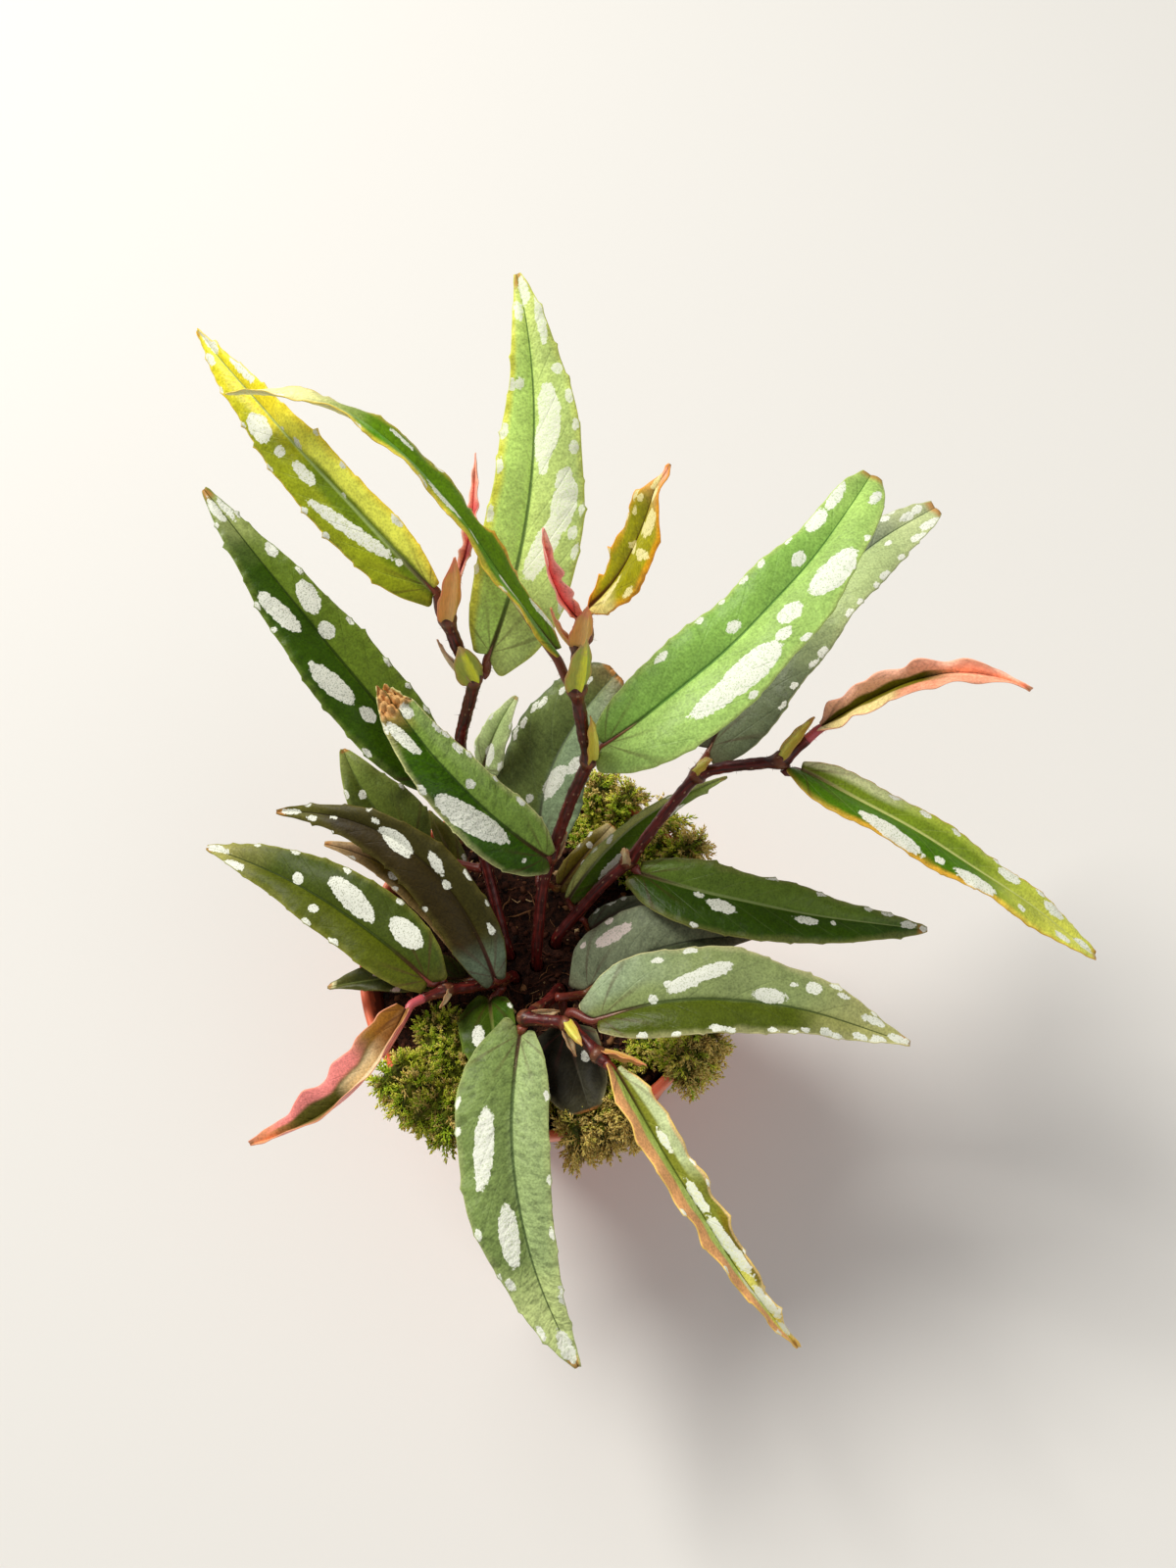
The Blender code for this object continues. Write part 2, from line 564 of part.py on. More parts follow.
def main():
    for old in list(bpy.data.objects):
        bpy.data.objects.remove(old)
    collection = bpy.data.collections.new("potted_begonia")
    bpy.context.scene.collection.children.link(collection)
    bark = material("cane bark", (0.11, 0.028, 0.022), 0.45)
    made = [make_pot(collection), make_soil(collection)]
    made += [make_cane(name, collection, bark) for name in CANES]
    for leaf in LEAVES:
        look = material(leaf.name, leaf.colour, 0.38)
        made.append(make_leaf(leaf, collection, look))
    rng = random.Random(7)
    moss = material("moss", MOSS_COLOUR, 0.9)
    made += [make_moss(name, row, collection, moss, rng) for name, row in MOSS.items()]
    for obj in made:
        smooth_shade(obj, 40)


main()
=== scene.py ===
"""The potted begonia, dressed: detailed leaves, canes, moss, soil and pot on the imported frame.

Lengths in the tables are millimetres and angles are degrees. The origin is the centre of the
pot's flat underside, +Z is up and the plant leans away towards +Y.
"""

import json
import math
from collections import namedtuple

import bpy
import numpy as np
from mathutils import Matrix, Vector


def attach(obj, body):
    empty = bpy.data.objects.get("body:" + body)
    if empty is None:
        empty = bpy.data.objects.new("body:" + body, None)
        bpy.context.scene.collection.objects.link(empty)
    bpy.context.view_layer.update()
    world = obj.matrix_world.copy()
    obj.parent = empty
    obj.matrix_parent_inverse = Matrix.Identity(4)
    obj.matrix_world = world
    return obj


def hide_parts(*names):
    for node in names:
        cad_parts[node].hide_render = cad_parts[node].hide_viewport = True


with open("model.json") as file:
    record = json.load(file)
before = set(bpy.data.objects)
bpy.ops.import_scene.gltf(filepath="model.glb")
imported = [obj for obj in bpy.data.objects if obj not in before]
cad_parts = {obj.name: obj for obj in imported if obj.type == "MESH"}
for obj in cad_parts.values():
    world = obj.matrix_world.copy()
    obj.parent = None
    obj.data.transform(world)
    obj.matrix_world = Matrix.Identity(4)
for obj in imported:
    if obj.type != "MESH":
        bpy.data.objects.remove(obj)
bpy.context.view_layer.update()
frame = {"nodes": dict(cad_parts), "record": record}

MM = 0.001

# Camera: where it stands, the directions of its right, up and back, and its lens
CAMERA_PLACE = (21.43, -100.52, 351.22)
CAMERA_TURN = ((0.9732, -0.2041, -0.1062), (0.2300, 0.8632, 0.4494), (0.0, -0.4617, 0.8870))
LENS = 27
SENSOR = 36

# Stage, in metres: the floor's reach and depth, where the lamps aim, and the lamps' place, size, power
# and colour
FLOOR_REACH = 3.0
FLOOR_DEPTH = 0.0002
LAMP_AIM = (0.02, 0.02, 0.1)
LAMPS = {"key": ((-0.75, 1.15, 1.75), 0.9, 50, (1.0, 0.98, 0.93)),
         "fill": ((0.55, -0.5, 0.75), 0.8, 2.2, (1.0, 0.99, 0.97))}

# Pot: steps round it, its drain holes, the heights and sides of their cutters, and its outline as
# (radius, height) rows, inside first
POT_STEPS = 160
DRAIN_HOLES = 6
DRAIN_RADIUS = 3.0
DRAIN_CIRCLE = 20.0
DRAIN_CUT = (-3, 1, 5)
DRAIN_SIDES = 32
POT_PROFILE = (
    (0, 1.6), (15, 1.6), (29.6, 1.6), (30.5, 1.9), (31.0, 2.8), (33.3, 17), (35.6, 32), (37.9, 48),
    (40.3, 64.5), (40.6, 67), (41.5, 68.5), (42.1, 72), (42.7, 76), (42.95, 77.1), (43.3, 77.7),
    (43.8, 78), (44.3, 77.95), (44.75, 77.6), (44.97, 77.0), (45, 76.4), (44.9, 75.7), (44.65, 75.35),
    (44.35, 75.2), (44.25, 74.6), (44.1, 71), (43.92, 67.4), (43.7, 66.7), (43.2, 66.4), (42.0, 66.25),
    (41.75, 65.9), (40.9, 60), (40.75, 59.4), (40.45, 59.2), (39.3, 51), (36.8, 33), (34.3, 15.5),
    (32.45, 2.2), (32.2, 1.1), (31.6, 0.3), (31.0, 0), (15, 0), (0, 0))

# Blades: the thickness of a leaf and of a papery sheath, the least half width, how far each half bulges
# (a share of it), how far the lobes reach back and how much wider one half is (shares of the width),
# the distance between teeth, and how steeply the side veins rise
BLADE = 0.42
PAPER = 0.3
LEAST_HALF_WIDTH = 0.22
BULGE = 0.10
LOBE_BACK = 0.16
WIDER = 0.18
TOOTH_SPACING = 7.5
VEIN_SLANT = 1.9
# Midrib: its breadth, the groove above and the ridge below it; and the ridges of the side veins
RIB_BREADTH = 0.7
GROOVE = 0.26
RIDGE = 0.45
SIDE_RIDGE = 0.12

# Grid of a blade: rows a millimetre for a leaf and for a sheath, half columns a millimetre, and the
# least and most rows and half columns
LEAF_ROWS = 1.6
SHEATH_ROWS = 2.4
HALF_COLUMNS = 1.1
ROW_LIMITS = (12, 130)
COLUMN_LIMITS = (4, 24)

# Outlines of blades: the share of the full width at shares of the length
WING = ((0.0, 0.42), (0.06, 0.74), (0.15, 0.95), (0.26, 1.0), (0.42, 0.95),
        (0.58, 0.80), (0.74, 0.57), (0.87, 0.35), (0.95, 0.19), (1.0, 0.07))
TAPER = ((0.0, 0.42), (0.06, 0.74), (0.15, 0.95), (0.26, 1.0), (0.42, 0.97),
         (0.58, 0.87), (0.74, 0.71), (0.87, 0.55), (0.95, 0.40), (1.0, 0.20))
BLUNT = ((0.0, 0.42), (0.08, 0.80), (0.22, 0.98), (0.40, 1.0), (0.60, 0.94),
         (0.78, 0.80), (0.90, 0.62), (0.97, 0.42), (1.0, 0.24))
YOUNG = ((0.0, 0.10), (0.08, 0.34), (0.22, 0.68), (0.42, 0.92), (0.62, 1.0), (0.78, 0.82),
         (0.88, 0.42), (0.94, 0.22), (1.0, 0.10))
STRAP = ((0.0, 0.35), (0.10, 0.80), (0.25, 1.0), (0.55, 0.92), (0.80, 0.60),
         (0.93, 0.26), (1.0, 0.05))

# Petioles: radii along one, the blade width from which they are full, how deep one starts in the end and
# in the side of a cane, how far it runs under the midrib, sides, step, how far its corners are cut, and
# its hairs' number a step and length
PETIOLE_RADII = (1.3125, 1.05, 1.05, 0.8925, 0.5, 0.28)
FULL_STALK_WIDTH = 12.0
END_DEPTH = 0.3
SIDE_DEPTH = 0.2
UNDER_MIDRIB = (0.11, 0.24)
STALK_SIDES = 12
STALK_STEP = 0.8
STALK_SOFTENING = 0.22
STALK_HAIRS = 1.6
STALK_HAIR = 0.8

# Canes: sides, step, how far corners are cut, the radius between nodes, the least radius of a node,
# hairs' number, length and radius, and the length of cane that stands in the soil
CANE_SIDES = 20
CANE_STEP = 0.5
CANE_SOFTENING = 0.12
CANE_RADIUS = 1.5
NODE_RADIUS = 1.55
CANE_HAIRS = 130
CANE_HAIR = 0.7
HAIR_RADIUS = 0.06
SOIL_DEPTH = 24
# Nodes: how slim the cane is between them, the radius that a swelling rises from, its reach, and the
# place above the node, depth and breadth of the ring groove
SLIM = 0.93
SWELL_FROM = 1.35
SWELL_REACH = 1.7
RING_PLACE = 1.0
RING_DEPTH = 0.16
RING_BREADTH = 0.28

# Canes: points up the cane as (x, y, z, radius); a swollen point is a node
CANES = {
    "cane_tall": (
        (-1.4, -1.1, 48, 1.5), (-1.4, -1.1, 73.5, 1.5), (5.0, 10.5, 91, 1.5), (9.0, 14.5, 99, 1.9),
        (17.5, 19.0, 118, 1.5), (23.0, 20.2, 130, 2.0), (22.9, 21.5, 138, 1.5),
        (23.5, 24.0, 153, 2.2), (25.8, 26.2, 165, 1.8), (26.4, 26.8, 169, 1.2)),
    "cane_back": (
        (-7.7, 3.1, 48, 1.4), (-7.7, 3.1, 73.5, 1.4), (-7.4, 20.0, 89, 1.5),
        (-7.0, 34.5, 107, 1.8), (-4.6, 37.5, 122, 1.5), (3.6, 36.4, 146, 2.0),
        (2.2, 38.0, 155, 1.4), (2.0, 39.0, 165, 1.9), (3.4, 40.2, 171, 1.1)),
    "cane_right": (
        (4.3, 3.5, 48, 1.5), (4.3, 3.5, 73.5, 1.5), (11.1, 6.5, 79, 1.5), (19.0, 9.5, 86.5, 1.5),
        (26.7, 11.3, 92.5, 2.1), (35.4, 15.4, 102, 1.4), (46.2, 19.5, 113.5, 2.1),
        (52.8, 17.6, 117, 1.4), (63.4, 12.8, 123, 2.1), (69.5, 15.0, 126, 1.2)),
    "cane_front": (
        (3.1, -8.9, 48, 1.5), (3.1, -8.9, 73.5, 1.5), (1.2, -13.0, 79.5, 1.5),
        (-2.9, -17.0, 85, 1.6), (-5.4, -19.4, 89.5, 2.0), (4.7, -24.0, 93.5, 2.0),
        (10.1, -33.5, 96.0, 2.0), (11.4, -35.8, 96.6, 1.3)),
    "cane_left": (
        (-7.4, -3.0, 48, 1.4), (-7.4, -3.0, 73.5, 1.4), (-10.0, -5.0, 77, 1.7),
        (-16.5, -6.3, 81, 1.5), (-22.5, -7.4, 86.5, 1.9), (-27.5, -9.6, 90.5, 1.1)),
}

# Papery stipules: the cane, the point, the heading round the cane, length, width, outward lean, paper
STIPULES = (
    ("cane_tall", 3, 20, 9, 4, 8, "tan"), ("cane_tall", 5, 325, 17, 4.5, 6, "yellow"),
    ("cane_tall", 7, 290, 17, 6, 4, "green"), ("cane_tall", 8, 280, 15, 5, 13, "orange"),
    ("cane_tall", 8, 190, 13, 3, 20, "orange"), ("cane_back", 5, 295, 14, 6.5, 8, "green"),
    ("cane_back", 5, 200, 16, 4, 6, "tan"), ("cane_back", 7, 300, 18, 5.5, 6, "orange"),
    ("cane_right", 4, 205, 7, 4.5, 32, "tan"), ("cane_right", 6, 165, 8, 4, 28, "yellow"),
    ("cane_right", 8, 190, 13, 4.5, 12, "yellow"), ("cane_front", 4, 350, 9, 3, 40, "tan"),
    ("cane_front", 5, 125, 10, 3, 17, "yellow"), ("cane_front", 5, 285, 8, 3.5, 28, "tan"),
    ("cane_front", 6, 75, 12, 5, 24, "orange"), ("cane_left", 4, 320, 7, 4, 30, "tan"),
)
SHEATH_BOW = 0.06
SHEATH_FOLD = 24

# Colours: the sides, keel and edge of a papery sheath, and the foot and top of a petiole
PAPERS = {"yellow": ("ccb83c", "e4d860", "c8924a"), "green": ("a0aa40", "e4e438", "c49a68"),
          "tan": ("cfb084", "dcc498", "a4744a"), "orange": ("d49a4c", "e6b468", "dc8260")}
STALKS = {"pink": ("c05058", "e08a70"), "plain": ("6a2418", "9a7a3c"), "pale": ("7a3a24", "b0a860")}

# Moss: the shoots of each patch, and how dry its tufts are where they hang over the rim
MOSS = {"moss_left": (1500, 0.2), "moss_front": (1100, 0.75), "moss_right": (1000, 0.65),
        "moss_back": (1500, 0.5)}
RIM_INSIDE = 40
RIM_WIDTH = 4
# How many different shoots there are, how deep they stand, their heights, and how far down a face with
# shoots may look
SHOOT_KINDS = 6
SHOOT_DEPTH = 0.25
SHOOT_HEIGHTS = (1.5, 3.0)
MOSS_FACING = -0.6
# The faces of a moss leaf, whose points are its foot, right, left and upper middle, and tip
LEAFLET = ((0, 1, 3), (0, 3, 2), (0, 2, 1), (1, 4, 3), (3, 4, 2), (2, 4, 1))

# Loose bits on the soil: how many lumps and fibres, how many different ones, the fibres' lengths, how
# far out they reach, and how level a face with bits has to be
SOIL_LUMPS = 1100
SOIL_FIBRES = 260
LUMP_KINDS = 6
FIBRE_KINDS = 8
FIBRE_LENGTHS = (2.5, 8.0)
SOIL_RADIUS = 41
SOIL_FACING = 0.7

# A leaf's form: the cane and the point of it that the petiole leaves (-1 is the cane's end), the
# blade's base and tip, its width, how far its midrib bows up and to the right, how late along it the
# bow lies, its roll, which half is wider (1 is the right), the fold of its halves, its outline, how far
# its teeth stand out, how far its tip curls up, how wrinkled its face is (which also sets the painted
# shade in its wrinkles), the ruffles of its edges (the waves along it, their height and how much the
# width comes and goes, as shares of the width), where its tip starts to wither and how high it crumples
# there.
# Its look: the kind of petiole, its roughness, the share of its teeth that carry a small spot, the
# colours of the spots and of its withered end, and the colours of its left and right halves, margin,
# tip, midrib and underside. On some leaves the lighter half is partly painted sheen.
# A spot: place along the midrib, place across (-1 left, 1 right), length, width and how far it turns
# outwards. A band: its colour, then the places across and along between which it fades in; a band that
# fades in downwards has its higher place first, and one that is everywhere has -2 -1. Some bands are
# painted sheen.
UNDERSIDE = "7a5540"
Leaf = namedtuple(
    "Leaf", "name cane point base tip width arch sweep late roll lobe fold outline bite curl wrinkles "
    "ruffles crumple stalk rough dots spot end colours spots bands",
    defaults=(0, 0, 1, 8, WING, 0.6, 0, 0.12, (3.0, 0.035, 0), (0.9, 0), "plain", 0.42, 0.5, "eef0e2",
              "b87a3a", "", "", ""))
LEAVES = (
    Leaf("leaf_right_large", "cane_tall", 5, (27, 22, 132), (96, 61.5, 150), 23, 5, 7, outline=TAPER,
         bite=0.3, stalk="pale", colours="80a94c 9cbe64 b4c870 a8c86a 4a7a2c",
         spots=".33 .58 19 5 2, .385 .6 16 6.6 4, .5 .62 3.6 2.6, .69 .62 12.5 6 8, .55 .42 6 4 6, "
         ".44 -.26 3.4 2.3, .68 -.29 4 2.4, .8 -.72 6.4 3.8, .885 -.72 7.5 2.6, .25 -.8 3.6 1.8, "
         ".39 -.9 2.2 1.4, .55 -.9 2 1.3, .93 .62 4.5 2"),
    Leaf("leaf_right_pale", "cane_right", 6, (51, 27, 110), (116, 67, 126), 21, 5, -5, outline=TAPER,
         bite=0.5, stalk="pale", colours="848f74 acbe80 b0b880 b4bc88 48583a",
         spots=".41 .93 3.2 2, .55 .93 2.6 1.8, .72 .92 3 1.8, .8 .9 2.4 1.6, .88 .85 4 2, .94 .75 6 2.4, "
         ".91 -.3 4 2, .85 -.75 2.6 1.8, .95 -.5 3 2, .8 .3 2 1.4", bands="5c664c -2 -1 .55 .3"),
    Leaf("leaf_upright", "cane_back", 5, (8, 38.5, 151), (31, 99, 190), 20, 3, 6, roll=12, wrinkles=0.3,
         stalk="pale", spot="f6fae0", colours="c2e474 c0d67a ccd05c c8d470 5d7e3c",
         spots=".655 .34 8 4 4, .585 .3 13 4.6 10, .51 .22 5 2.2, .41 .6 11 5 6, .3 .38 14 4.6 16, "
         ".47 .6 5 3 20, .74 .77 2.6 2.2, .67 .89 2.4 1.8, .55 .84 2.4 2, .35 .83 2.6 2, .71 -.9 2.6 1.8, "
         ".59 -.9 3 1.6, .49 -.9 3.4 1.6, .36 -.9 3.4 1.6, .71 -.56 2.8 2, .87 .72 9 2, .95 .3 6 2, "
         ".9 -.5 4 1.5", bands="d4d44a -.66 -.9 -2 -1"),
    # The pale right half is partly painted sheen at its base.
    Leaf("leaf_upper_left", "cane_back", 7, (0.5, 44, 169), (-35, 107, 188), 13.5, 6, 1.5, roll=-35, lobe=-1,
         fold=10, bite=0.9, stalk="pale", colours="96a20e e8ec5a f4d23a f2da3a a4b870 a08030",
         spots=".61 -.5 7.5 4.2, .52 -.39 2.6 2, .43 -.33 6.5 2.2, .25 -.42 20 2.6 12, .5 .15 2.6 1.4, "
         ".32 .07 1.2 1, .56 .1 1 .8, .1 -.12 1.5 1.3, .78 .88 11 2.4, .93 .6 9 2.2, .88 -.6 4 1.6",
         bands="ecd41c -2 -1 .4 .72, 5c7408 .36 .12 .62 .35, 98a21c -.2 -.45 -2 -1, e4d828 -2 -1 .6 .8"),
    Leaf("leaf_arching", "cane_tall", 7, (21, 31, 158), (-28.2, 80.9, 193), 11, 12, 0, late=0.6, roll=40,
         lobe=-0.5, fold=14, outline=TAPER, bite=0.9, ruffles=(5, 0.05, 0.05), stalk="pale", end="e8d090",
         colours="5c9408 5c8208 e0c048 d8d070 3f6a0c dcd890",
         spots=".15 -.32 12 3 12, .42 -.62 10 1.8, .58 .5 5 1.2, .08 .75 8 1.6, .32 -.5 3 1",
         bands="dc9a38 .7 .9 .42 .3, d0c840 -.7 -.9 -2 -1, e8e4a0 -2 -1 .66 .88"),
    Leaf("leaf_left_dark", "cane_back", 3, (-12.5, 36.5, 109), (-50, 104, 148), 19, 4, -1, lobe=-0.5,
         bite=0.8, rough=0.36, colours="324e02 607620 7a8c3a a8b070 24380a",
         spots=".59 .5 8.5 4.6 10, .6 -.53 13 4 8, .49 .23 4.4 3.4, .37 -.53 13 4.6 10, .25 -.34 4.4 3, "
         ".75 .72 4 2.6, .93 -.4 8 2, .92 .6 7 1.8"),
    # The right half's lighter green and its 8aa458 band are partly painted sheen.
    Leaf("leaf_brown_tip", "cane_tall", 3, (8, 12, 105), (-18, 48, 136), 16, 5, -4, lobe=-0.6, outline=TAPER,
         curl=-3, wrinkles=0.9, crumple=(0.84, 1.5), rough=0.36,
         colours="345604 7e9c42 d0d090 c89a5a 2c4810", spots=".36 -.46 19 5.6 12, .76 -.5 9.5 2.6 10, "
         ".84 .3 4 2.4, .46 .26 2.5 2, .09 -.51 1.2 1.2, .72 .9 3 1.6, .6 .85 3 1.8, .25 .92 2.6 1.6",
         bands="8aa458 .2 .5 .3 .65, c89860 -2 -1 .86 .89"),
    Leaf("leaf_inner_grey", "cane_tall", 2, (6, 20, 93), (34, 46, 120), 23, 3, -4, lobe=-0.5, outline=BLUNT,
         wrinkles=0.5, crumple=(0.95, 0.5), colours="6a7a40 8a9f78 6a765a 7a6a45 7c8a6c",
         spots=".38 .2 10.5 4.6 18, .52 .6 6 3.2 18, .25 -.25 2.2 1.8, .77 -.67 2 1.4, .68 -.84 3 1.4, "
         ".56 -.88 2.4 1.4, .89 -.43 2.4 1"),
    # The left half, lighter than the deep green right one, is partly painted sheen.
    Leaf("leaf_right_dark", "cane_right", 4, (29, 7.5, 92), (90, -20, 87), 17, 4, 3.5, lobe=0.8,
         wrinkles=0.3, rough=0.36, colours="5e7628 2f4902 8a8a4c 37551e 8a9a5c",
         spots=".3 .32 7 3.2 8, .22 .14 2.6 1.4, .58 .26 5.6 2.1, .67 .24 1.3 1, .93 -.3 4 1.6, "
         ".985 0 2 1.4"),
    # Its pale d4dca4 band at the base of the left half is painted sheen.
    Leaf("leaf_far_right", "cane_right", 8, (67, 10, 122), (117, -39, 104), 14, 5, 2, roll=-20, fold=10,
         outline=TAPER, rough=0.36, colours="70861e 467004 e0b040 ecd858 c8cc80",
         spots=".31 .72 15 3.8 4, .57 .69 9.5 3.6, .46 .65 2.4 1.8, .72 .6 1.8 1.3, .27 -.82 2.8 1.8, "
         ".37 -.8 2.6 1.8, .47 -.8 2.2 1.5, .66 -.66 5.6 2.8, .82 -.6 6 2.4, .87 .65 3.6 1.6, "
         ".95 .1 5.5 2.2", bands="e4ac38 .8 .95 .06 .3, a8ba40 -.35 -.75 -2 -1, d4dca4 -.3 -.6 .4 .16, "
         "d0d454 -2 -1 .5 .92"),
    # Its lighter grey-green left half is partly painted sheen.
    Leaf("leaf_inner_narrow", "cane_right", 2, (10.5, 11.5, 79), (55, 27, 93), 8, 2, -6, roll=50, fold=25,
         colours="a6aa60 446002 8d9a58 8a9a50 a0a878", spots=".28 .7 10 1.8, .7 .9 6 1.8, .36 -.58 1.3 1.2"),
    # Its grey-green left half is partly painted sheen, and its 8c9c78 band at the base is painted sheen.
    Leaf("leaf_front_right", "cane_front", 5, (12, -26, 98), (76.5, -45.5, 91), 20, 4, -5.5, late=-0.2,
         lobe=-1, rough=0.38, colours="86945c 4a5610 ccc690 b4ac70 3c4c20",
         spots=".29 -.32 9.5 3 20, .36 -.48 9.5 3.2 18, .54 -.17 7.5 3, .18 -.08 2.2 1.8, .23 -.3 1.8 1.6, "
         ".21 -.79 2.2 1.4, .67 -.62 3.4 2.8, .61 -.55 1.6 1, .76 -.75 3 1.2, .87 -.5 5.5 1.8, .96 0 5 2.2, "
         ".38 .88 4 1.5, .56 .88 2.4 1.2, .73 .8 3.4 1.8, .66 .86 2 1.2, .84 .7 3.4 1.4, .9 .6 3.6 1.6",
         bands="a8a868 -2 -1 .6 .9, 8c9c78 -.2 -.5 .35 .1"),
    Leaf("leaf_under_front", "cane_front", 2, (10, -12.5, 78), (51, -12.5, 87), 20, 4, -3, lobe=-1,
         wrinkles=0.6, rough=0.55, spot="e4d4cc", colours="7c8668 444c32 7a7a62 6a6a50 383f2c",
         spots=".28 -.6 9.5 3.4, .11 -.85 2 1.4"),
    Leaf("leaf_front", "cane_front", 4, (-7, -22.5, 87.5), (-9, -91.5, 74), 21, 6, 6, wrinkles=1,
         stalk="pale", rough=0.5, colours="98ac70 74884a a4b070 b8c080 384c24",
         spots=".34 .51 16 4.4 7, .44 .65 2 1.2, .585 .33 12.5 4.2 5, .71 .79 2.8 2, .93 .1 8 3, "
         ".86 .8 3 1.4, .61 -.9 2.6 1.4, .8 -.85 3 1.4", bands="bcca84 -2 -1 .6 .85"),
    # Its cream-green c0cc98 band at the base of the left half is painted sheen.
    Leaf("leaf_folded_front", "cane_front", -1, (13, -38, 97), (37, -97.5, 76), 12, 6, 5, late=0.4, roll=-25,
         fold=35, bite=0.8, ruffles=(6.5, 0.06, 0.06), colours="dcd868 b4c860 ecc860 f0cc48 4a5a1c d89a6a",
         spots=".6 -.35 16 2.2 3, .44 -.25 8 1.8 3, .8 -.4 9 1.8, .25 -.3 6 1.4, .72 .2 7 1.4, .9 -.2 5 1.4",
         bands="666c14 .05 -.15 .75 .6, c0cc98 -.3 -.45 .42 .32, 7a6a10 -.45 -.6 .5 .56, "
         "e0ca88 -.45 -.6 .74 .78, d8b880 -.78 -.9 -2 -1, dc9a68 .42 .56 -2 -1"),
    Leaf("leaf_low_left", "cane_left", 4, (-26, -5, 89), (-75, 41, 93), 18, 5, 3, lobe=0.8, bite=0.5,
         wrinkles=0.3, rough=0.52, colours="4e5608 414e12 8a8a3a b8b068 2c3a0c",
         spots=".38 .39 14.5 5 10, .16 .5 9.5 5.4 5, .59 .16 3 2.6, .47 -.43 2.4 2, .84 -.68 6 2, "
         ".95 .2 7 1.8"),
    Leaf("leaf_left_brown", "cane_left", 2, (-11, -6, 84), (-54, 41.5, 102), 14, 6, 13, roll=-20, lobe=-0.5,
         bite=0.8, rough=0.55, colours="302608 38340f 5c5420 6a6a2a 2a2008",
         spots=".55 .03 10 4.2 8, .41 .34 6.4 2.4 15, .34 .07 2.8 2.2, .15 .63 3 1.5, .86 -.45 3 1.2, "
         ".78 -.06 2 1, .64 .46 2 1.2, .94 0 6 1.6", bands="5f6f58 -2 -1 .16 .06"),
    Leaf("leaf_left_under", "cane_left", 2, (-14.5, -0.5, 79.5), (-46, 35.5, 91), 12, 4, 5, rough=0.55,
         colours="504004 483802 b89a64 c09a78 2c2208", spots=".45 .4 5 2.6 8, .6 -.3 3 2.2"),
    Leaf("leaf_back_olive", "cane_back", 2, (-24, 28, 92), (-35, 52, 106), 16, 2, -2,
         colours="48541a 66762f 8f9a50 8f9a50 5a6a30", spots=".6 -.13 2.4 2.2"),
    Leaf("leaf_back_small", "cane_back", 3, (-2, 39, 104), (10, 46.5, 120), 10, 2, 0,
         colours="a8bc7a a8bc7a c0cc94 c0cc94 8aa060", spots=".25 .19 7 3.4"),
    Leaf("leaf_low_inner", "cane_tall", 2, (9, 16, 77), (25, 27, 81), 8, 1, 0, outline=BLUNT,
         colours="685c14 6a5a20 9a8a48 c8b888 5a4a18", spots=".4 .3 1.5 1.2, .62 -.3 1.6 1.3"),
    Leaf("leaf_low_grey", "cane_right", 2, (14, 3, 76), (28, 6, 80), 8, 1, 0, outline=BLUNT,
         colours="5a6048 5a6048 747a60 70765c 7a8068"),
    Leaf("leaf_low_front", "cane_left", 2, (-14, -9, 75.5), (-13, -37, 84), 14, 3, 0,
         colours="34500c 384c0a 6a8030 6a8030 7a9040", spots=".4 .45 6 3 8, .6 -.4 4 2.4"),
    Leaf("leaf_low_left_small", "cane_left", 2, (-20, -2, 76), (-51, 1, 84), 10, 4, 0, spot="d8c0b4",
         colours="333a12 383e14 5a5a28 5a5a28 606a30", spots=".42 .4 3.4 2.2, .62 .3 2.2 1.6",
         bands="d8d0a0 -2 -1 .92 .97"),
    Leaf("leaf_flat_dark", "cane_front", 1, (3, -21, 77), (5, -42, 83.5), 17, 2, 0, fold=5, outline=BLUNT,
         wrinkles=0.8, rough=0.7, colours="28261a 1c190e 8a8460 3c3a28 3c3a2c",
         spots=".66 .86 2 1.5, .45 -.4 3 2.2"),
    Leaf("leaf_back_tiny", "cane_back", 1, (-15, 23, 84), (-19, 38, 91), 6, 1, 0,
         colours="5a5a20 5a5a20 7a8040 7a8040 8a8a50"),
    Leaf("young_amber", "cane_tall", 8, (29, 28.5, 172), (44.5, 30.5, 203), 14, -2, 1.5, lobe=2, fold=15,
         outline=YOUNG, bite=1.1, curl=-2, stalk="pale", rough=0.36, spot="f4e8a4",
         colours="9c9a10 a09a0c e8982c eca07a 7a5a10 c07a40",
         spots=".76 .45 5.2 3.8, .7 .26 2.5 2, .54 .12 5.4 2 55, .63 .62 5 2 55, .79 -.5 1.8 1.2, "
         ".7 -.55 1.6 1, .88 .4 2.6 1.6, .4 .85 3 1.4, .26 .35 8 1.6, .9 -.3 2 1",
         bands="d49414 .8 .95 -2 -1, e4d884 0 .3 .3 .18, f0a484 -2 -1 .9 .98"),
    Leaf("shoot_pink", "cane_tall", -1, (26.5, 27.3, 172), (24, 32, 193), 5, 0, -2, fold=60, outline=STRAP,
         ruffles=(3.5, 0.12, 0.15), stalk="pink",
         colours="f47a74 f47a74 fcb0a0 e8a05a d85060 f08078"),
    Leaf("shoot_pink_left", "cane_back", -1, (6.4, 43.4, 171.3), (14.4, 77.1, 167), 3.8, -4, 0, fold=45,
         outline=STRAP, ruffles=(4.5, 0.14, 0.2), stalk="pink",
         colours="ec8474 e07a6c f4b098 e8a068 b84850 e8887c", bands="b84848 -.4 0 .75 .6"),
    Leaf("young_pink_right", "cane_right", -1, (73, 16, 128.5), (110, 4, 146), 12, 5, -5, late=0.5, roll=20,
         fold=55, outline=STRAP, ruffles=(4.5, 0.09, 0.12), stalk="pink",
         colours="6a6414 6a6414 f4ae8c f4b890 7a5a20 f0a488",
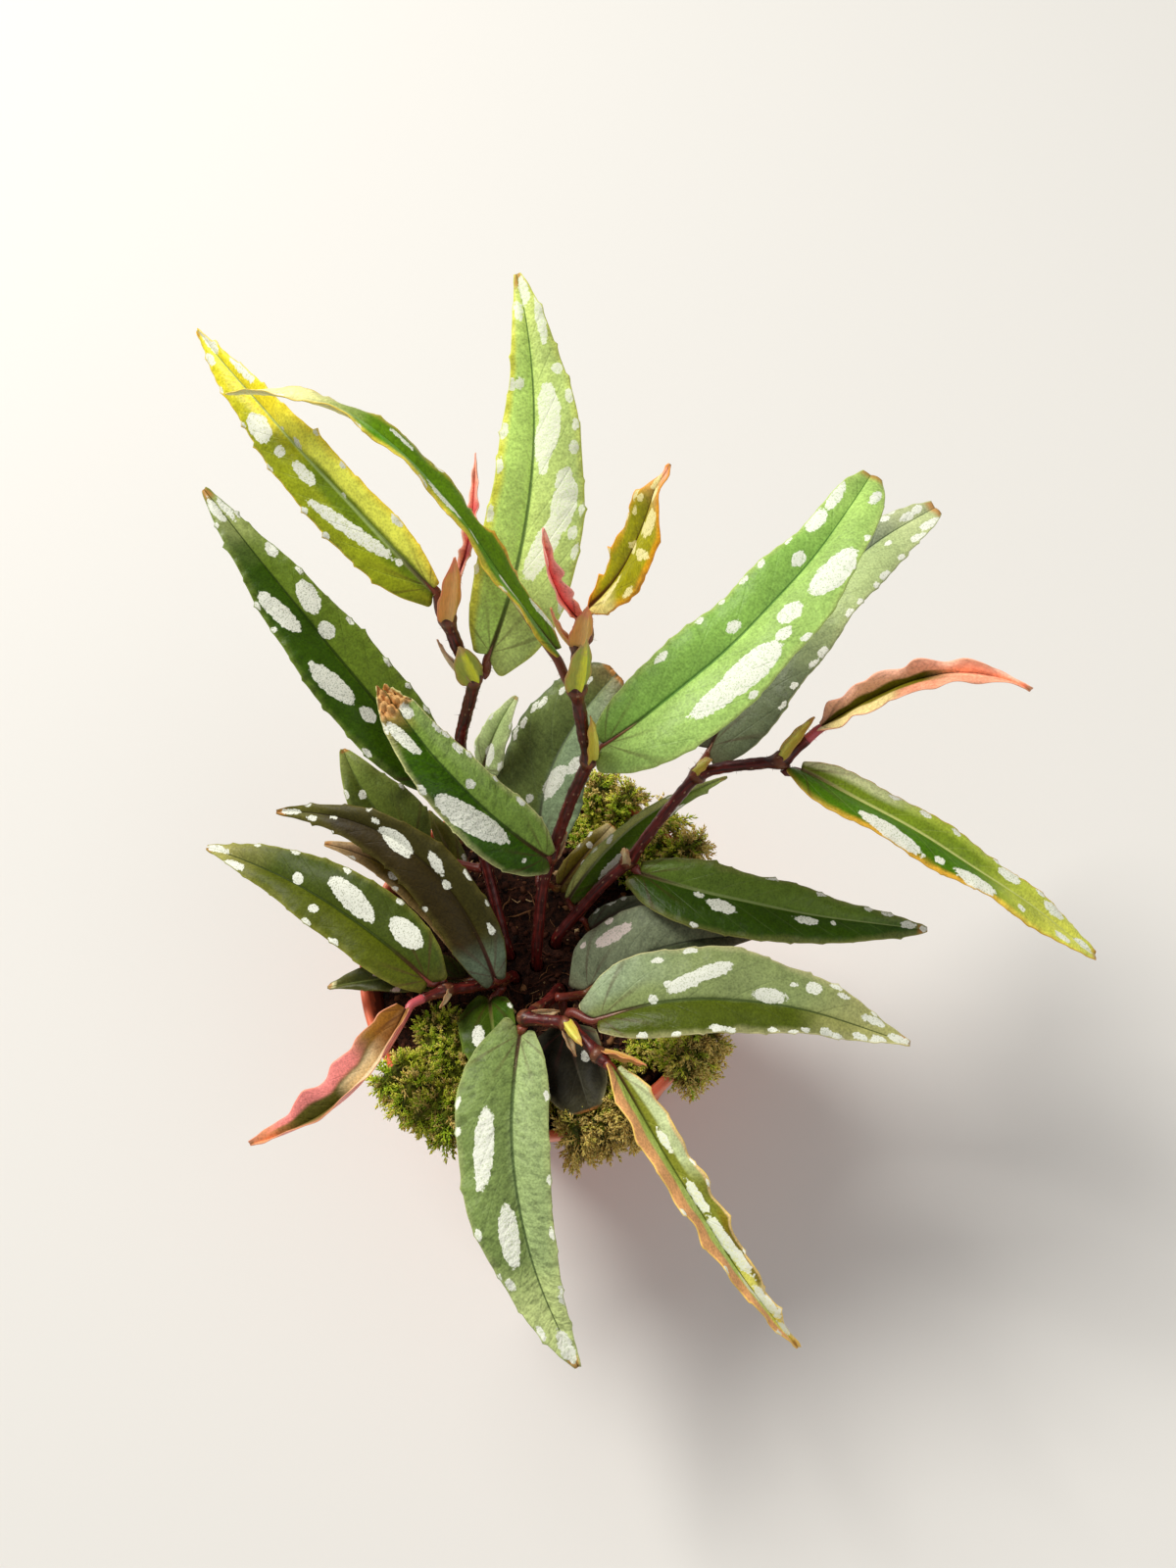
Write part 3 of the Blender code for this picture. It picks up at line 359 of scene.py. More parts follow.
         bands="f8b494 -2 -1 .55 .72, ffc0a4 -.28 -.42 -2 -1, e8d490 .35 .55 .5 .4, f0a080 .35 .55 .4 .5"),
    Leaf("young_pink_left", "cane_left", -1, (-31, -12, 93), (-69.5, -34, 93), 12, 0, -8, roll=20, fold=50,
         outline=STRAP, ruffles=(3.2, 0.06, 0.09), stalk="pink",
         colours="5f5a20 5f5a20 e89a78 f0a070 6a4818 f09088",
         bands="ecd4a8 .46 .28 .54 .42, 96601c -2 -1 .28 .14, f48c88 .36 .54 .18 .36, e8986a -2 -1 .8 .95"),
)


def unit(v):
    return v / np.maximum(np.linalg.norm(v, axis=-1, keepdims=True), 1e-12)


def smooth(value, low, high):
    t = np.clip((value - low) / (high - low), 0, 1)
    return t * t * (3 - 2 * t)


def smooth_table(table, at):
    """Reads a table of (place, value) rows with a smooth curve through its rows."""
    x, y = np.array(table).T
    at = np.clip(at, x[0], x[-1])
    i = np.clip(np.searchsorted(x, at) - 1, 0, len(x) - 2)
    before, after = np.maximum(i - 1, 0), np.minimum(i + 2, len(x) - 1)
    span = x[i + 1] - x[i]
    slope0 = (y[i + 1] - y[before]) / (x[i + 1] - x[before]) * span
    slope1 = (y[after] - y[i]) / (x[after] - x[i]) * span
    t = (at - x[i]) / span
    return ((2 * t**3 - 3 * t**2 + 1) * y[i] + (t**3 - 2 * t**2 + t) * slope0
            + (3 * t**2 - 2 * t**3) * y[i + 1] + (t**3 - t**2) * slope1)


def stack(*parts):
    """Joins arrays and numbers into an array of rows."""
    return np.stack(np.broadcast_arrays(*parts), -1)


def lengths(path):
    """How far along a path each of its points lies."""
    return np.concatenate([[0], np.cumsum(np.linalg.norm(np.diff(path, axis=0), axis=1))])


def seeded(*words):
    """A random generator that depends only on the words."""
    return np.random.default_rng([ord(c) for c in "_".join(words)])


def rows_of(text):
    """The rows of a table that is kept as text, each a list of words."""
    return [row.split() for row in text.split(",") if row]


def new_object(name, data):
    made = bpy.data.objects.new(name, data)
    bpy.context.scene.collection.objects.link(made)
    return made


class Pile:
    """Collects points, faces and point attributes for one object, in millimetres."""

    def __init__(self):
        self.points, self.faces, self.slots, self.flat, self.place = [], [], [], [], []
        self.count = 0

    def add(self, points, faces, slot=0, flat=(0, 0, 9), place=(0, 0, 0)):
        """faces is a list of index arrays, one row a face."""
        points = np.reshape(points, (-1, 3))
        self.points.append(points)
        for block in faces:
            self.faces.append(np.asarray(block) + self.count)
            self.slots.append(np.broadcast_to(slot, len(block)))
        for layer, values in ((self.flat, flat), (self.place, place)):
            layer.append(np.broadcast_to(np.reshape(values, (-1, 3)), points.shape))
        self.count += len(points)

    def build(self, name, looks, slot):
        """Makes the object, riding on the part's only body."""
        mesh = bpy.data.meshes.new(name)
        faces = [row for block in self.faces for row in block.tolist()]
        mesh.from_pydata((np.concatenate(self.points) * MM).tolist(), [], faces)
        for layer, rows in (("flat", self.flat), ("place", self.place)):
            data = mesh.attributes.new(layer, "FLOAT_VECTOR", "POINT").data
            data.foreach_set("vector", np.concatenate(rows).astype(np.float32).ravel())
        for look in looks:
            mesh.materials.append(look)
        mesh.polygons.foreach_set("material_index", np.concatenate(self.slots).astype(np.int32))
        mesh.polygons.foreach_set("use_smooth", np.ones(len(faces), bool))
        mesh.update()
        made = new_object(name, mesh)
        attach(made, "root")
        return made


def sheet_faces(rows, columns):
    """Quads of both sides and the rim of a thin sheet: upper, under and rim."""
    index = np.arange((rows + 1) * (columns + 1)).reshape(rows + 1, columns + 1)
    upper = np.stack([index[:-1, :-1], index[:-1, 1:], index[1:, 1:], index[1:, :-1]], -1).reshape(-1, 4)
    sides = []
    for edge, turn in ((index[:, 0], 1), (index[:, -1], -1), (index[0, ::-1], 1), (index[-1, :], 1)):
        below = edge + index.size
        sides.append(np.stack([edge[:-1], edge[1:], below[1:], below[:-1]], -1)[:, ::turn])
    return upper, (upper + index.size)[:, ::-1], np.concatenate(sides)


def soften(rows, share):
    """Cuts the corners of a path of (x, y, z, radius) rows twice and keeps its ends."""
    for _ in range(2):
        near = rows[:-1] * (1 - share) + rows[1:] * share
        far = rows[:-1] * share + rows[1:] * (1 - share)
        middle = np.stack([near, far], 1).reshape(-1, 4)
        rows = np.concatenate([rows[:1], middle[1:-1], rows[-1:]])
    return rows


def resample(rows, step):
    """Rows at even steps along a path, and how far along it they lie."""
    length = lengths(rows[:, :3])
    at = np.linspace(0, length[-1], max(3, int(length[-1] / step) + 1))
    return np.stack([np.interp(at, length, column) for column in rows.T], -1), at


def ring_faces(index):
    """Quads between closed rings of points, from a grid of their numbers with a ring in each row."""
    turned = np.roll(index, -1, axis=1)
    return np.stack([index[:-1], turned[:-1], turned[1:], index[1:]], -1).reshape(-1, 4)


def halves(quads):
    """Two triangles for each quad."""
    return quads[:, (0, 1, 2, 0, 2, 3)].reshape(-1, 3)


def tube(rows, sides):
    """A closed tube along a path: its points, faces, and each point's distance round its side."""
    path, radii = np.split(np.array(rows, float), [3], axis=1)
    along = unit(np.gradient(path, axis=0))
    across = unit(np.cross(along[0], (0.3, 0.2, 1) if abs(along[0][2]) < 0.9 else (1, 0, 0)))
    turns = np.arange(sides) * math.tau / sides
    rings = []
    for point, direction, radius in zip(path, along, radii):
        across = unit(across - direction * across.dot(direction))
        other = np.cross(direction, across)
        rings.append(point + radius * (np.cos(turns)[:, None] * across + np.sin(turns)[:, None] * other))
    index = np.arange(len(path) * sides).reshape(len(path), sides)
    around = np.abs(turns - math.pi) * radii
    return np.concatenate(rings), [ring_faces(index), index[:1, ::-1], index[-1:]], around.ravel()


def hue(code):
    """A linear colour from an sRGB code such as 5f9a3c."""
    parts = [int(code[i:i + 2], 16) / 255 for i in (0, 2, 4)]
    return tuple(p / 12.92 if p <= 0.04045 else ((p + 0.055) / 1.055) ** 2.4 for p in parts)


def operation(kind, turned=False):
    """A method of Value that adds a math node; turned puts the other value first."""
    if turned:
        return lambda self, other: self.graph.math(kind, other, self)
    return lambda self, other=0.0: self.graph.math(kind, self, other)


class Value:
    """An output of a node in a material; arithmetic with it adds nodes."""

    __add__, __sub__, __mul__, __truediv__ = map(operation, ("ADD", "SUBTRACT", "MULTIPLY", "DIVIDE"))
    __radd__, __rsub__ = operation("ADD", True), operation("SUBTRACT", True)
    __abs__ = operation("ABSOLUTE")

    def __init__(self, graph, socket):
        self.graph, self.socket = graph, socket

    def step(self, low, high):
        """Goes smoothly from 0 at low to 1 at high."""
        return self.graph.node("MapRange", {0: self, 1: low, 2: high}, interpolation_type="SMOOTHSTEP")[0]


class Graph:
    """A material that is built up from one colour; its other colours are codes or values too."""

    def __init__(self, name, colour, rough, **shader):
        self.colour = colour
        self.look = bpy.data.materials.new(name)
        self.look.use_nodes = True
        self.tree = self.look.node_tree
        self.shader = self.tree.nodes["Principled BSDF"].inputs
        self.shader["Roughness"].default_value = rough
        for socket, value in shader.items():
            self.shader[socket.replace("_", " ")].default_value = value

    def node(self, kind, inputs, **settings):
        """Adds a node and gives its outputs."""
        made = self.tree.nodes.new("ShaderNode" + kind)
        for key, value in settings.items():
            setattr(made, key, value)
        for socket, value in inputs.items():
            self.feed(made.inputs[socket], value)
        return [Value(self, socket) for socket in made.outputs]

    def feed(self, socket, value):
        if isinstance(value, Value):
            self.tree.links.new(value.socket, socket)
        elif isinstance(value, str):
            socket.default_value = (*hue(value), 1) if socket.type == "RGBA" else hue(value)
        else:
            socket.default_value = value

    def parts(self, name):
        """The three numbers of a point attribute."""
        return self.node("SeparateXYZ", {0: self.node("Attribute", {}, attribute_name=name)[1]})

    def where(self):
        return self.node("TexCoord", {})[3]

    def combine(self, x, y, z):
        return self.node("CombineXYZ", {0: x, 1: y, 2: z})[0]

    def math(self, kind, a, b=0.0):
        return self.node("Math", {0: a, 1: b}, operation=kind)[0]

    def mix(self, a, b, factor):
        return self.node("Mix", {0: factor, 6: a, 7: b}, data_type="RGBA")[2]

    def bright(self, colour, factor):
        return self.node("VectorMath", {0: colour, "Scale": factor}, operation="SCALE")[0]

    def blend(self, colour, factor):
        self.colour = self.mix(self.colour, colour, factor)

    def tone(self, factor):
        self.colour = self.bright(self.colour, factor)

    def noise(self, vector, scale, detail, roughness=0.55):
        return self.node("TexNoise", {"Vector": vector, "Scale": scale, "Detail": detail,
                                      "Roughness": roughness})[0]

    def cells(self, vector, scale):
        return self.node("TexVoronoi", {"Vector": vector, "Scale": scale}, feature="F1")[0]

    def islands(self, x, y, spots):
        """How far inside the nearest spot's edge a point lies, in millimetres."""
        at, depth = self.combine(x, y, 0.0), -9.0
        for place_x, place_y, long, wide, turn in spots:
            place = {"Vector": at, "Location": (place_x, place_y, 0), "Rotation": (0, 0, -turn),
                     "Scale": (wide, long, 1)}
            own = self.node("Mapping", place, vector_type="TEXTURE")[0]
            reach = self.node("VectorMath", {0: own}, operation="LENGTH")[1]
            depth = self.math("MAXIMUM", depth, (1.0 - reach) * wide)
        return depth

    def finish(self, height=None, depth=0.2, strength=0.6, rough=None):
        """Joins the colour, the height (in millimetres of depth) and the roughness to the shader."""
        self.feed(self.shader["Base Color"], self.colour)
        if rough:
            self.feed(self.shader["Roughness"], rough)
        if height:
            bump = {"Strength": strength, "Distance": depth * MM, "Height": height}
            self.feed(self.shader["Normal"], self.node("Bump", bump)[0])
        return self.look


def upper_look(leaf, spots):
    """A leaf's upper face: two tones, veins, silver spots, a coloured margin, some painted sheen, painted
    shade in wrinkles.
    """
    left, right, margin, tip, vein = leaf.colours.split()[:5]
    g = Graph("upper_" + leaf.name, left, leaf.rough, Specular_IOR_Level=0.15, Coat_Weight=0.02,
              Coat_Roughness=0.3)
    x, y, edge = g.parts("flat")
    s, v, phase = g.parts("place")
    seed = float(seeded(leaf.name).uniform(0, 90))
    at = g.combine(x, y, seed)
    mottle, grain = g.noise(at, 0.6, 4), g.noise(at, 1.7, 2)
    uneven, mottled, grainy = g.noise(at, 0.09, 2) - 0.5, mottle - 0.5, grain - 0.5
    wide = abs(x)

    # the two tones: on some leaves the lighter half is partly painted sheen
    g.blend(right, (v + uneven * 0.3).step(-0.1, 0.1))
    g.blend(tip, (s + uneven * 0.25).step(0.7, 1.02) * 0.8)
    g.blend(margin, (edge + uneven * 3).step(1.8, 0.2) * 0.4)
    # bands, some of which are painted sheen
    for code, *fade in rows_of(leaf.bands):
        v_low, v_high, s_low, s_high = map(float, fade)
        place = (v + uneven * 0.25).step(v_low, v_high) * (s + uneven * 0.15).step(s_low, s_high)
        g.blend(code, place * 0.9)
    tone = 1.0 + grainy * 0.6 + (mottled * 0.5 + uneven * 0.6)
    g.tone(tone + (g.cells(at, 2.1) - 0.4) * 0.5)
    folds = g.noise(g.combine(x * 0.4, (y + wide * -0.4) * 0.62, seed), 1.0, 2)
    # painted shade: the colour is darkened in the wrinkles' troughs, the more so the more wrinkled the leaf
    g.tone(1.0 + folds.step(0.5, 0.34) * (-0.3 * leaf.wrinkles))
    g.blend("4e2a16", s.step(0.06, 0.0) * 0.3)
    last = 0.955 if leaf.outline is WING else 0.97
    g.blend(leaf.end, (s + uneven * 0.03).step(last, last + 0.025) * 0.8)

    line = abs(g.math("FRACT", phase) - 0.5).step(0.44, 0.5) * edge.step(0.3, 3.0)
    g.blend(vein, line * 0.1)
    rib = (wide / ((1.0 - s) * 0.5 + 0.16)).step(1.25, 0.6)
    g.blend(g.bright(g.colour, 1.15), wide.step(2.6, 0.6) * 0.5)
    g.blend(vein, rib * 0.8)
    slant = wide / g.math("MAXIMUM", y, 0.5)
    rays = abs(slant - 0.42).step(0.09, 0.02) + abs(slant - 1.3).step(0.2, 0.05)
    g.blend("4a1c1c", g.math("MAXIMUM", rays * 0.6, rib) * y.step(15.0, 2.0) * 0.75)

    mask = (g.islands(x, y, spots) + (mottled * 1.1 + grainy * 0.7)).step(-0.08, 0.08)
    silver = g.mix(leaf.spot, g.bright(left, 1.1), g.noise(at, 2.8, 1).step(0.55, 0.62) * 0.42)
    g.blend(silver, mask * 0.95)
    g.blend(g.bright(margin, 1.15), (edge + mottled * 0.3).step(0.36, 0.14) * 0.75)
    creases = g.noise(g.combine(x * 0.9, (y + wide * -0.6) * 0.45, seed), 1.0, 3)
    height = mottle * 0.6 + grain * 0.4 + creases * 0.9 + folds * (3.6 * leaf.wrinkles) + line * -0.3
    return g.finish(height, 0.22, 0.7, rough=leaf.rough + (mottled * 0.2 + mask * 0.08))


def under_look(code):
    """The underside of a leaf: duller and redder, with raised veins."""
    g = Graph("under_" + code, code, 0.45, Subsurface_Weight=0.05, Subsurface_Scale=MM)
    x, y, _ = g.parts("flat")
    phase = g.parts("place")[2]
    at = g.combine(x, y, 4.0)
    broad, mottle, grain = g.noise(at, 0.1, 2), g.noise(at, 0.9, 4), g.noise(at, 4.0, 2)
    line = abs(g.math("FRACT", phase) - 0.5).step(0.42, 0.5)
    veins = g.math("MAXIMUM", line * 0.5, abs(x).step(0.9, 0.4))
    g.tone(0.45 + broad * 0.7 + mottle * 0.4)
    g.blend(g.bright(code, 1.5), veins * 0.5)
    return g.finish(veins * 0.8 + grain * 0.3, 0.2, 0.5)


def stalk_look(kind, low, high):
    """A petiole: reddish where it leaves the cane, greener by the blade, with fine long streaks."""
    g = Graph("stalk_" + kind, low, 0.4, Specular_IOR_Level=0.5, Subsurface_Weight=0.08,
              Subsurface_Scale=MM)
    x, y, _ = g.parts("flat")
    share = g.parts("place")[0]
    streaks = g.noise(g.combine(x * 3.0, y * 0.25, 2.0), 1.0, 3)
    dots = g.noise(g.combine(x, y, 5.0), 2.4, 2)
    g.blend(high, (share + (streaks - 0.5) * 0.8).step(0.2, 0.9))
    g.tone(0.65 + streaks * 0.7)
    g.blend("d8b08a", dots.step(0.66, 0.74) * 0.35)
    return g.finish(streaks + dots * 0.4, 0.12, 0.5)


def bark_look():
    """A cane: dark red skin with long streaks, pale lenticels and brown node rings."""
    g = Graph("bark", "300c0a", 0.36, Specular_IOR_Level=0.4, Coat_Weight=0.1, Coat_Roughness=0.3)
    x, y, ring = g.parts("flat")
    streaks = g.noise(g.combine(x * 2.0, y * 0.18, 1.0), 1.0, 3)
    mottle = g.noise(g.combine(x, y, 3.0), 0.9, 3)
    dots = g.cells(g.combine(x, y * 0.5, 7.0), 0.8)
    g.blend("6a1812", streaks.step(0.3, 0.7))
    g.blend("94402c", streaks.step(0.6, 0.75) * 0.6)
    g.tone(0.7 + mottle * 0.6)
    g.blend("b08a68", dots.step(0.2, 0.1) * 0.55)
    g.blend("8a5c34", abs(ring).step(1.6, 0.4) * (0.1 + mottle * 0.5))
    g.blend("1c0a06", abs(ring - RING_PLACE).step(0.35, 0.1) * 0.6)
    height = streaks * 0.6 + (mottle * 0.4 + dots.step(0.22, 0.1) * 0.7)
    return g.finish(height, rough=0.3 + mottle * 0.25)


def paper_look(name, sides, keel, rim):
    """A dry papery sheath: fibres run along it, its keel is brighter, its edge and tip are redder."""
    g = Graph("paper_" + name, sides, 0.5, Subsurface_Weight=0.15, Subsurface_Scale=2 * MM)
    x, y, edge = g.parts("flat")
    s, v, _ = g.parts("place")
    fibres = g.noise(g.combine(x * 3.5, y * 0.35, 1.0), 1.0, 3)
    blotch = (g.noise(g.combine(x, y, 6.0), 0.5, 3) - 0.5) * 0.8
    g.blend(keel, (abs(v) + blotch * 0.4).step(0.42, 0.08))
    g.blend(rim, (s + blotch).step(0.72, 1.0) * 0.8)
    g.blend(rim, (edge + blotch).step(0.5, 0.1) * 0.6)
    g.tone(0.6 + fibres * 0.8)
    return g.finish(fibres)


def pot_look():
    """Moulded orange plastic, a little translucent, scuffed, soil-stained near the rim, with painted shade
    inside.
    """
    g = Graph("plastic", "e8643c", 0.42, Specular_IOR_Level=0.45, Subsurface_Weight=0.12,
              Subsurface_Scale=2 * MM)
    at = g.where()
    z = g.node("SeparateXYZ", {0: at})[2]
    outward = g.node("NewGeometry", {})[1]
    inner = g.node("VectorMath", {0: outward, 1: at}, operation="DOT_PRODUCT")[1].step(-0.005, -0.02)
    broad, dust, grain = g.noise(at, 60, 3), g.noise(at, 420, 5), g.noise(at, 2600, 2)
    g.blend("f08a66", broad.step(0.3, 0.7))
    g.blend("c9543a", dust.step(0.5, 0.7) * 0.25)
    # painted shade: the inner wall is darkened
    g.blend("a8442a", inner * 0.6)
    g.blend("2e150c", (z + (dust - 0.5) * 0.012).step(0.0765, 0.0735) * inner * 0.75)
    g.blend("4a2412", g.noise(at, 900, 3).step(0.66, 0.72) * z.step(0.060, 0.078) * 0.6)
    g.blend("9a5a3c", g.noise(at, 170, 4).step(0.56, 0.68) * z.step(0.03, 0.0) * 0.5)
    return g.finish(grain * 0.5 + dust, 0.06, 0.5, rough=0.34 + dust * 0.25)


def soil_look():
    """Dark potting mix: near-black peat with red-brown fibres."""
    g = Graph("mix", "1a0d09", 0.95, Specular_IOR_Level=0.2)
    at = g.where()
    broad, lumps, grain = g.noise(at, 150, 3), g.noise(at, 620, 5, 0.65), g.noise(at, 2400, 3)
    g.blend("4a281a", lumps.step(0.35, 0.7))
    g.blend("6e4a30", grain.step(0.62, 0.75) * 0.5)
    g.tone(0.6 + broad * 0.8)
    return g.finish(lumps + grain * 0.4, 1.2, 1.0)


def crumb_look():
    """Loose bits on the soil: bark, husks and peat, each of its own brown."""
    g = Graph("crumbs", "170b07", 0.9, Specular_IOR_Level=0.25)
    kind = g.parts("place")[0]
    grain = g.noise(g.where(), 1500, 4)
    g.blend("4c2616", kind.step(0.1, 0.6))
    g.blend("8a5f3c", kind.step(0.72, 0.9))
    g.blend("c9a878", kind.step(0.95, 0.99))
    g.tone(0.55 + grain * 0.9)
    return g.finish(grain, 0.3, 0.8)


def moss_bed_look():
    """The moss cushion under its shoots: dark olive with brown threads."""
    g = Graph("moss_bed", "2c3208", 0.95, Specular_IOR_Level=0.2)
    at = g.where()
    lumps, grain = g.noise(at, 420, 4), g.noise(at, 2200, 3)
    g.blend("7f8a20", lumps.step(0.35, 0.7))
    g.blend("6a4a24", grain.step(0.55, 0.7) * 0.6)
    return g.finish(lumps + grain, 0.9, 1.0)


def moss_look():
    """Moss shoots: brown-green at the foot, bright yellow-green at the tip, some of them dry."""
    g = Graph("moss_shoots", "54580a", 0.6, Specular_IOR_Level=0.35, Subsurface_Weight=0.1,
              Subsurface_Scale=MM)
    height, shade, dry = g.parts("place")
    g.blend("b8ce1c", height.step(0.0, 0.7))
    g.blend("f0ea58", height.step(0.5, 1.0) * shade.step(0.1, 0.7))
    g.blend("7cb020", shade.step(0.5, 0.2) * 0.45)
    straw = g.mix("7c5c28", "ecca78", height.step(0.05, 0.8))
    g.blend(straw, dry.step(0.66, 0.82) * 0.85)
    return g.finish()


def midrib(leaf, s):
    """Points, directions, rightward and upward vectors of the midrib at shares s of its length."""
    base, span = np.array(leaf.base), np.subtract(leaf.tip, leaf.base)
    along = unit(span)
    up = unit(np.array([0, 0, 1.0]) - along * along[2])
    roll = math.radians(leaf.roll)
    up = up * math.cos(roll) + np.cross(along, up) * math.sin(roll)
    side = np.cross(along, up)
    bow = up * leaf.arch + side * leaf.sweep
    s = np.asarray(s)[..., None]
    late = 1 + leaf.late * (2 * s - 1)
    middle = base + span * s + bow * (4 * s * (1 - s) * late)
    direction = unit(span + bow * (4 * (1 - 2 * s) * late + 8 * s * (1 - s) * leaf.late))
    right = unit(side - direction * np.sum(side * direction, -1, keepdims=True))
    return middle, direction, right, np.cross(right, direction)


def midrib_at(leaf, s):
    """The same at one place."""
    return [part[0] for part in midrib(leaf, [s])]


def teeth(bite, s, rng, length):
    """How far each margin stands out at s in millimetres, and where its teeth end."""
    count = max(4, round(length / TOOTH_SPACING))
    out, ends = [], []
    for _ in range(2):
        cuts = (np.arange(count + 1) + rng.uniform(-0.3, 0.3, count + 1)) / count
        cuts[0], cuts[-1] = 0, 1
        size = rng.uniform(0.25, 1.0, count) * bite
        k = np.clip(np.searchsorted(cuts, s, side="right") - 1, 0, count - 1)
        part = (s - cuts[k]) / (cuts[k + 1] - cuts[k])
        rise = part**7 * (1 - smooth(part, 0.94, 1.0))
        uneven = 0.8 * np.sin(s * length * 0.3 + rng.uniform(0, 6)) * s * (1 - s)
        out.append(size[k] * (1.7 * rise - 0.15) * smooth(s, 0.04, 0.15) * smooth(s, 1, 0.97) + uneven)
        ends.append(cuts[1:-1] - 0.1 / count)
    return out, ends


def blade_form(leaf, s, v, rng, length):
    """The blade's middle surface at s by v, its flat millimetre coordinates, its half width and the
    ends of its teeth."""
    middle, direction, right, normal = midrib(leaf, s[:, 0])
    hand, across = np.where(v < 0, -1.0, 1.0), np.abs(v)
    larger = hand * leaf.lobe
    half = leaf.width / 2 * smooth_table(leaf.outline, s) * (1 + WIDER * larger)
    half = np.maximum(half, LEAST_HALF_WIDTH)
    ends = ([], [])
    if leaf.outline is not STRAP:
        out, ends = teeth(leaf.bite, s[:, 0], rng, length)
        half = half + np.where(hand < 0, out[0][:, None], out[1][:, None]) * across**2
    waves, high, pinch = leaf.ruffles
    half = half * (1 + pinch * np.sin(8.6 * waves * s + 2 * hand) * smooth(s, 0.05, 0.2))
    lobes = LOBE_BACK if leaf.outline in (WING, TAPER, BLUNT) else 0.0
    back = leaf.width * lobes * (1 + 0.6 * larger) * across**0.7 * (1 - 0.55 * across**4) * (1 - s)**8
    x = hand * half * across
    y = lengths(middle)[:, None] - back

    # Relief: the fold, waves, ripples, curl and crumples, then the side veins and the midrib's groove
    fold = math.radians(leaf.fold)
    wave = high * leaf.width * np.sin(math.tau * waves * s + 1.3 * hand + leaf.width)
    height = half * (across * math.sin(fold) + BULGE * np.sin(math.pi * across)) + wave * across**2
    ripple = rng.uniform(1.5, 2.2) * math.tau / TOOTH_SPACING
    height += 0.010 * leaf.width * across**4 * np.sin(ripple * y + hand * 2) * smooth(s, 0, 0.1)
    height += 0.012 * leaf.width * np.sin(0.23 * y + 0.31 * x + rng.uniform(0, 6))
    height += leaf.curl * smooth(s, 0.82, 1.0)**2
    start, crumple = leaf.crumple
    creased = np.sin(1.9 * x + 1.1 * y) + 0.6 * np.sin(2.9 * y - 1.6 * x) + 0.4 * np.sin(5.1 * x + 0.7 * y)
    height += crumple * smooth(s, start, start + 0.05) * creased * 0.7
    phase = (y - VEIN_SLANT * np.abs(x)) / max(4.5, 0.48 * leaf.width) + 0.5 * (hand > 0)
    x = x * (1 - 0.2 * crumple * smooth(s, start, 1))
    inside = smooth(across, 1, 0.8) * smooth(np.abs(x), 0.3, 2)
    height += 0.02 * min(1, leaf.width / 16) * inside * (1 - 2 * smooth(off_vein(phase), 0.34, 0.5))
    height -= GROOVE * np.exp(-(x / RIB_BREADTH)**2) * (1 - s)**0.4
    points = (middle[:, None] - direction[:, None] * back[..., None]
              + right[:, None] * (x * math.cos(fold))[..., None] + normal[:, None] * height[..., None])
    edge = np.minimum((1 - across) * half, y - y[:1] + 5 * np.exp(-(x / 1.6)**2))
    return points, stack(x, y, edge), stack(s, v, phase), half, ends


def off_vein(phase):
    """Runs from 0 midway between two side veins to 0.5 on a vein."""
    return np.abs(phase - np.floor(phase) - 0.5)


def add_blade(pile, leaf, density=LEAF_ROWS, thick=BLADE, slots=(0, 1)):
    """Adds the blade as a thin closed sheet and gives its spots in flat millimetres: place across and
    along, half length, half width and turn."""
    rng = seeded(leaf.name)
    length = math.dist(leaf.base, leaf.tip)
    rows = int(np.clip(length * density, *ROW_LIMITS))
    columns = 2 * int(np.clip(leaf.width * HALF_COLUMNS, *COLUMN_LIMITS))
    s = np.linspace(0, 1, rows + 1)[:, None]
    t = np.linspace(-1, 1, columns + 1)[None, :]
    v = np.sign(t) * np.abs(t)**1.2
    points, flat, place, half, ends = blade_form(leaf, s, v, rng, length)
    spots = [[float(word) for word in (words + ["0"])[:5]] for words in rows_of(leaf.spots)]
    for hand, at in zip((-1, 1), ends):
        for end in at:
            if end > 0.12 and rng.uniform() < leaf.dots:
                spots.append((end, hand * rng.uniform(0.88, 0.96), rng.uniform(1.6, 3.0),
                              rng.uniform(1.1, 1.7), 6))

    normal = unit(np.cross(np.gradient(points, axis=1), np.gradient(points, axis=0)))
    across = np.abs(v)
    thin = thick / 2 * (1 - 0.45 * across**4) * (1 - 0.3 * s)
    ridge = 0 * thin
    if leaf.outline is not STRAP:
        ridge = RIDGE * np.exp(-(flat[..., 0] / RIB_BREADTH)**2) * (1 - s)**0.6
        ridge += SIDE_RIDGE * smooth(off_vein(place[..., 2]), 0.36, 0.5) * smooth(across, 1, 0.85)
    top = points + normal * thin[..., None]
    under = points - normal * (thin + ridge)[..., None]
    faces = sheet_faces(rows, columns)
    kinds = np.repeat((slots[0], slots[1], slots[0]), [len(block) for block in faces])
    pile.add([top, under], [np.concatenate(faces)], kinds, [flat, flat], [place, place])

    found = []
    for at, side, long, wide, turn in spots:
        reach = np.interp(at, s[:, 0], half[:, -1 if side > 0 else 0])
        found.append((side * reach, at * flat[-1, columns // 2, 1], long / 2, wide / 2,
                      math.radians(turn) * (1 if side > 0 else -1)))
    return found


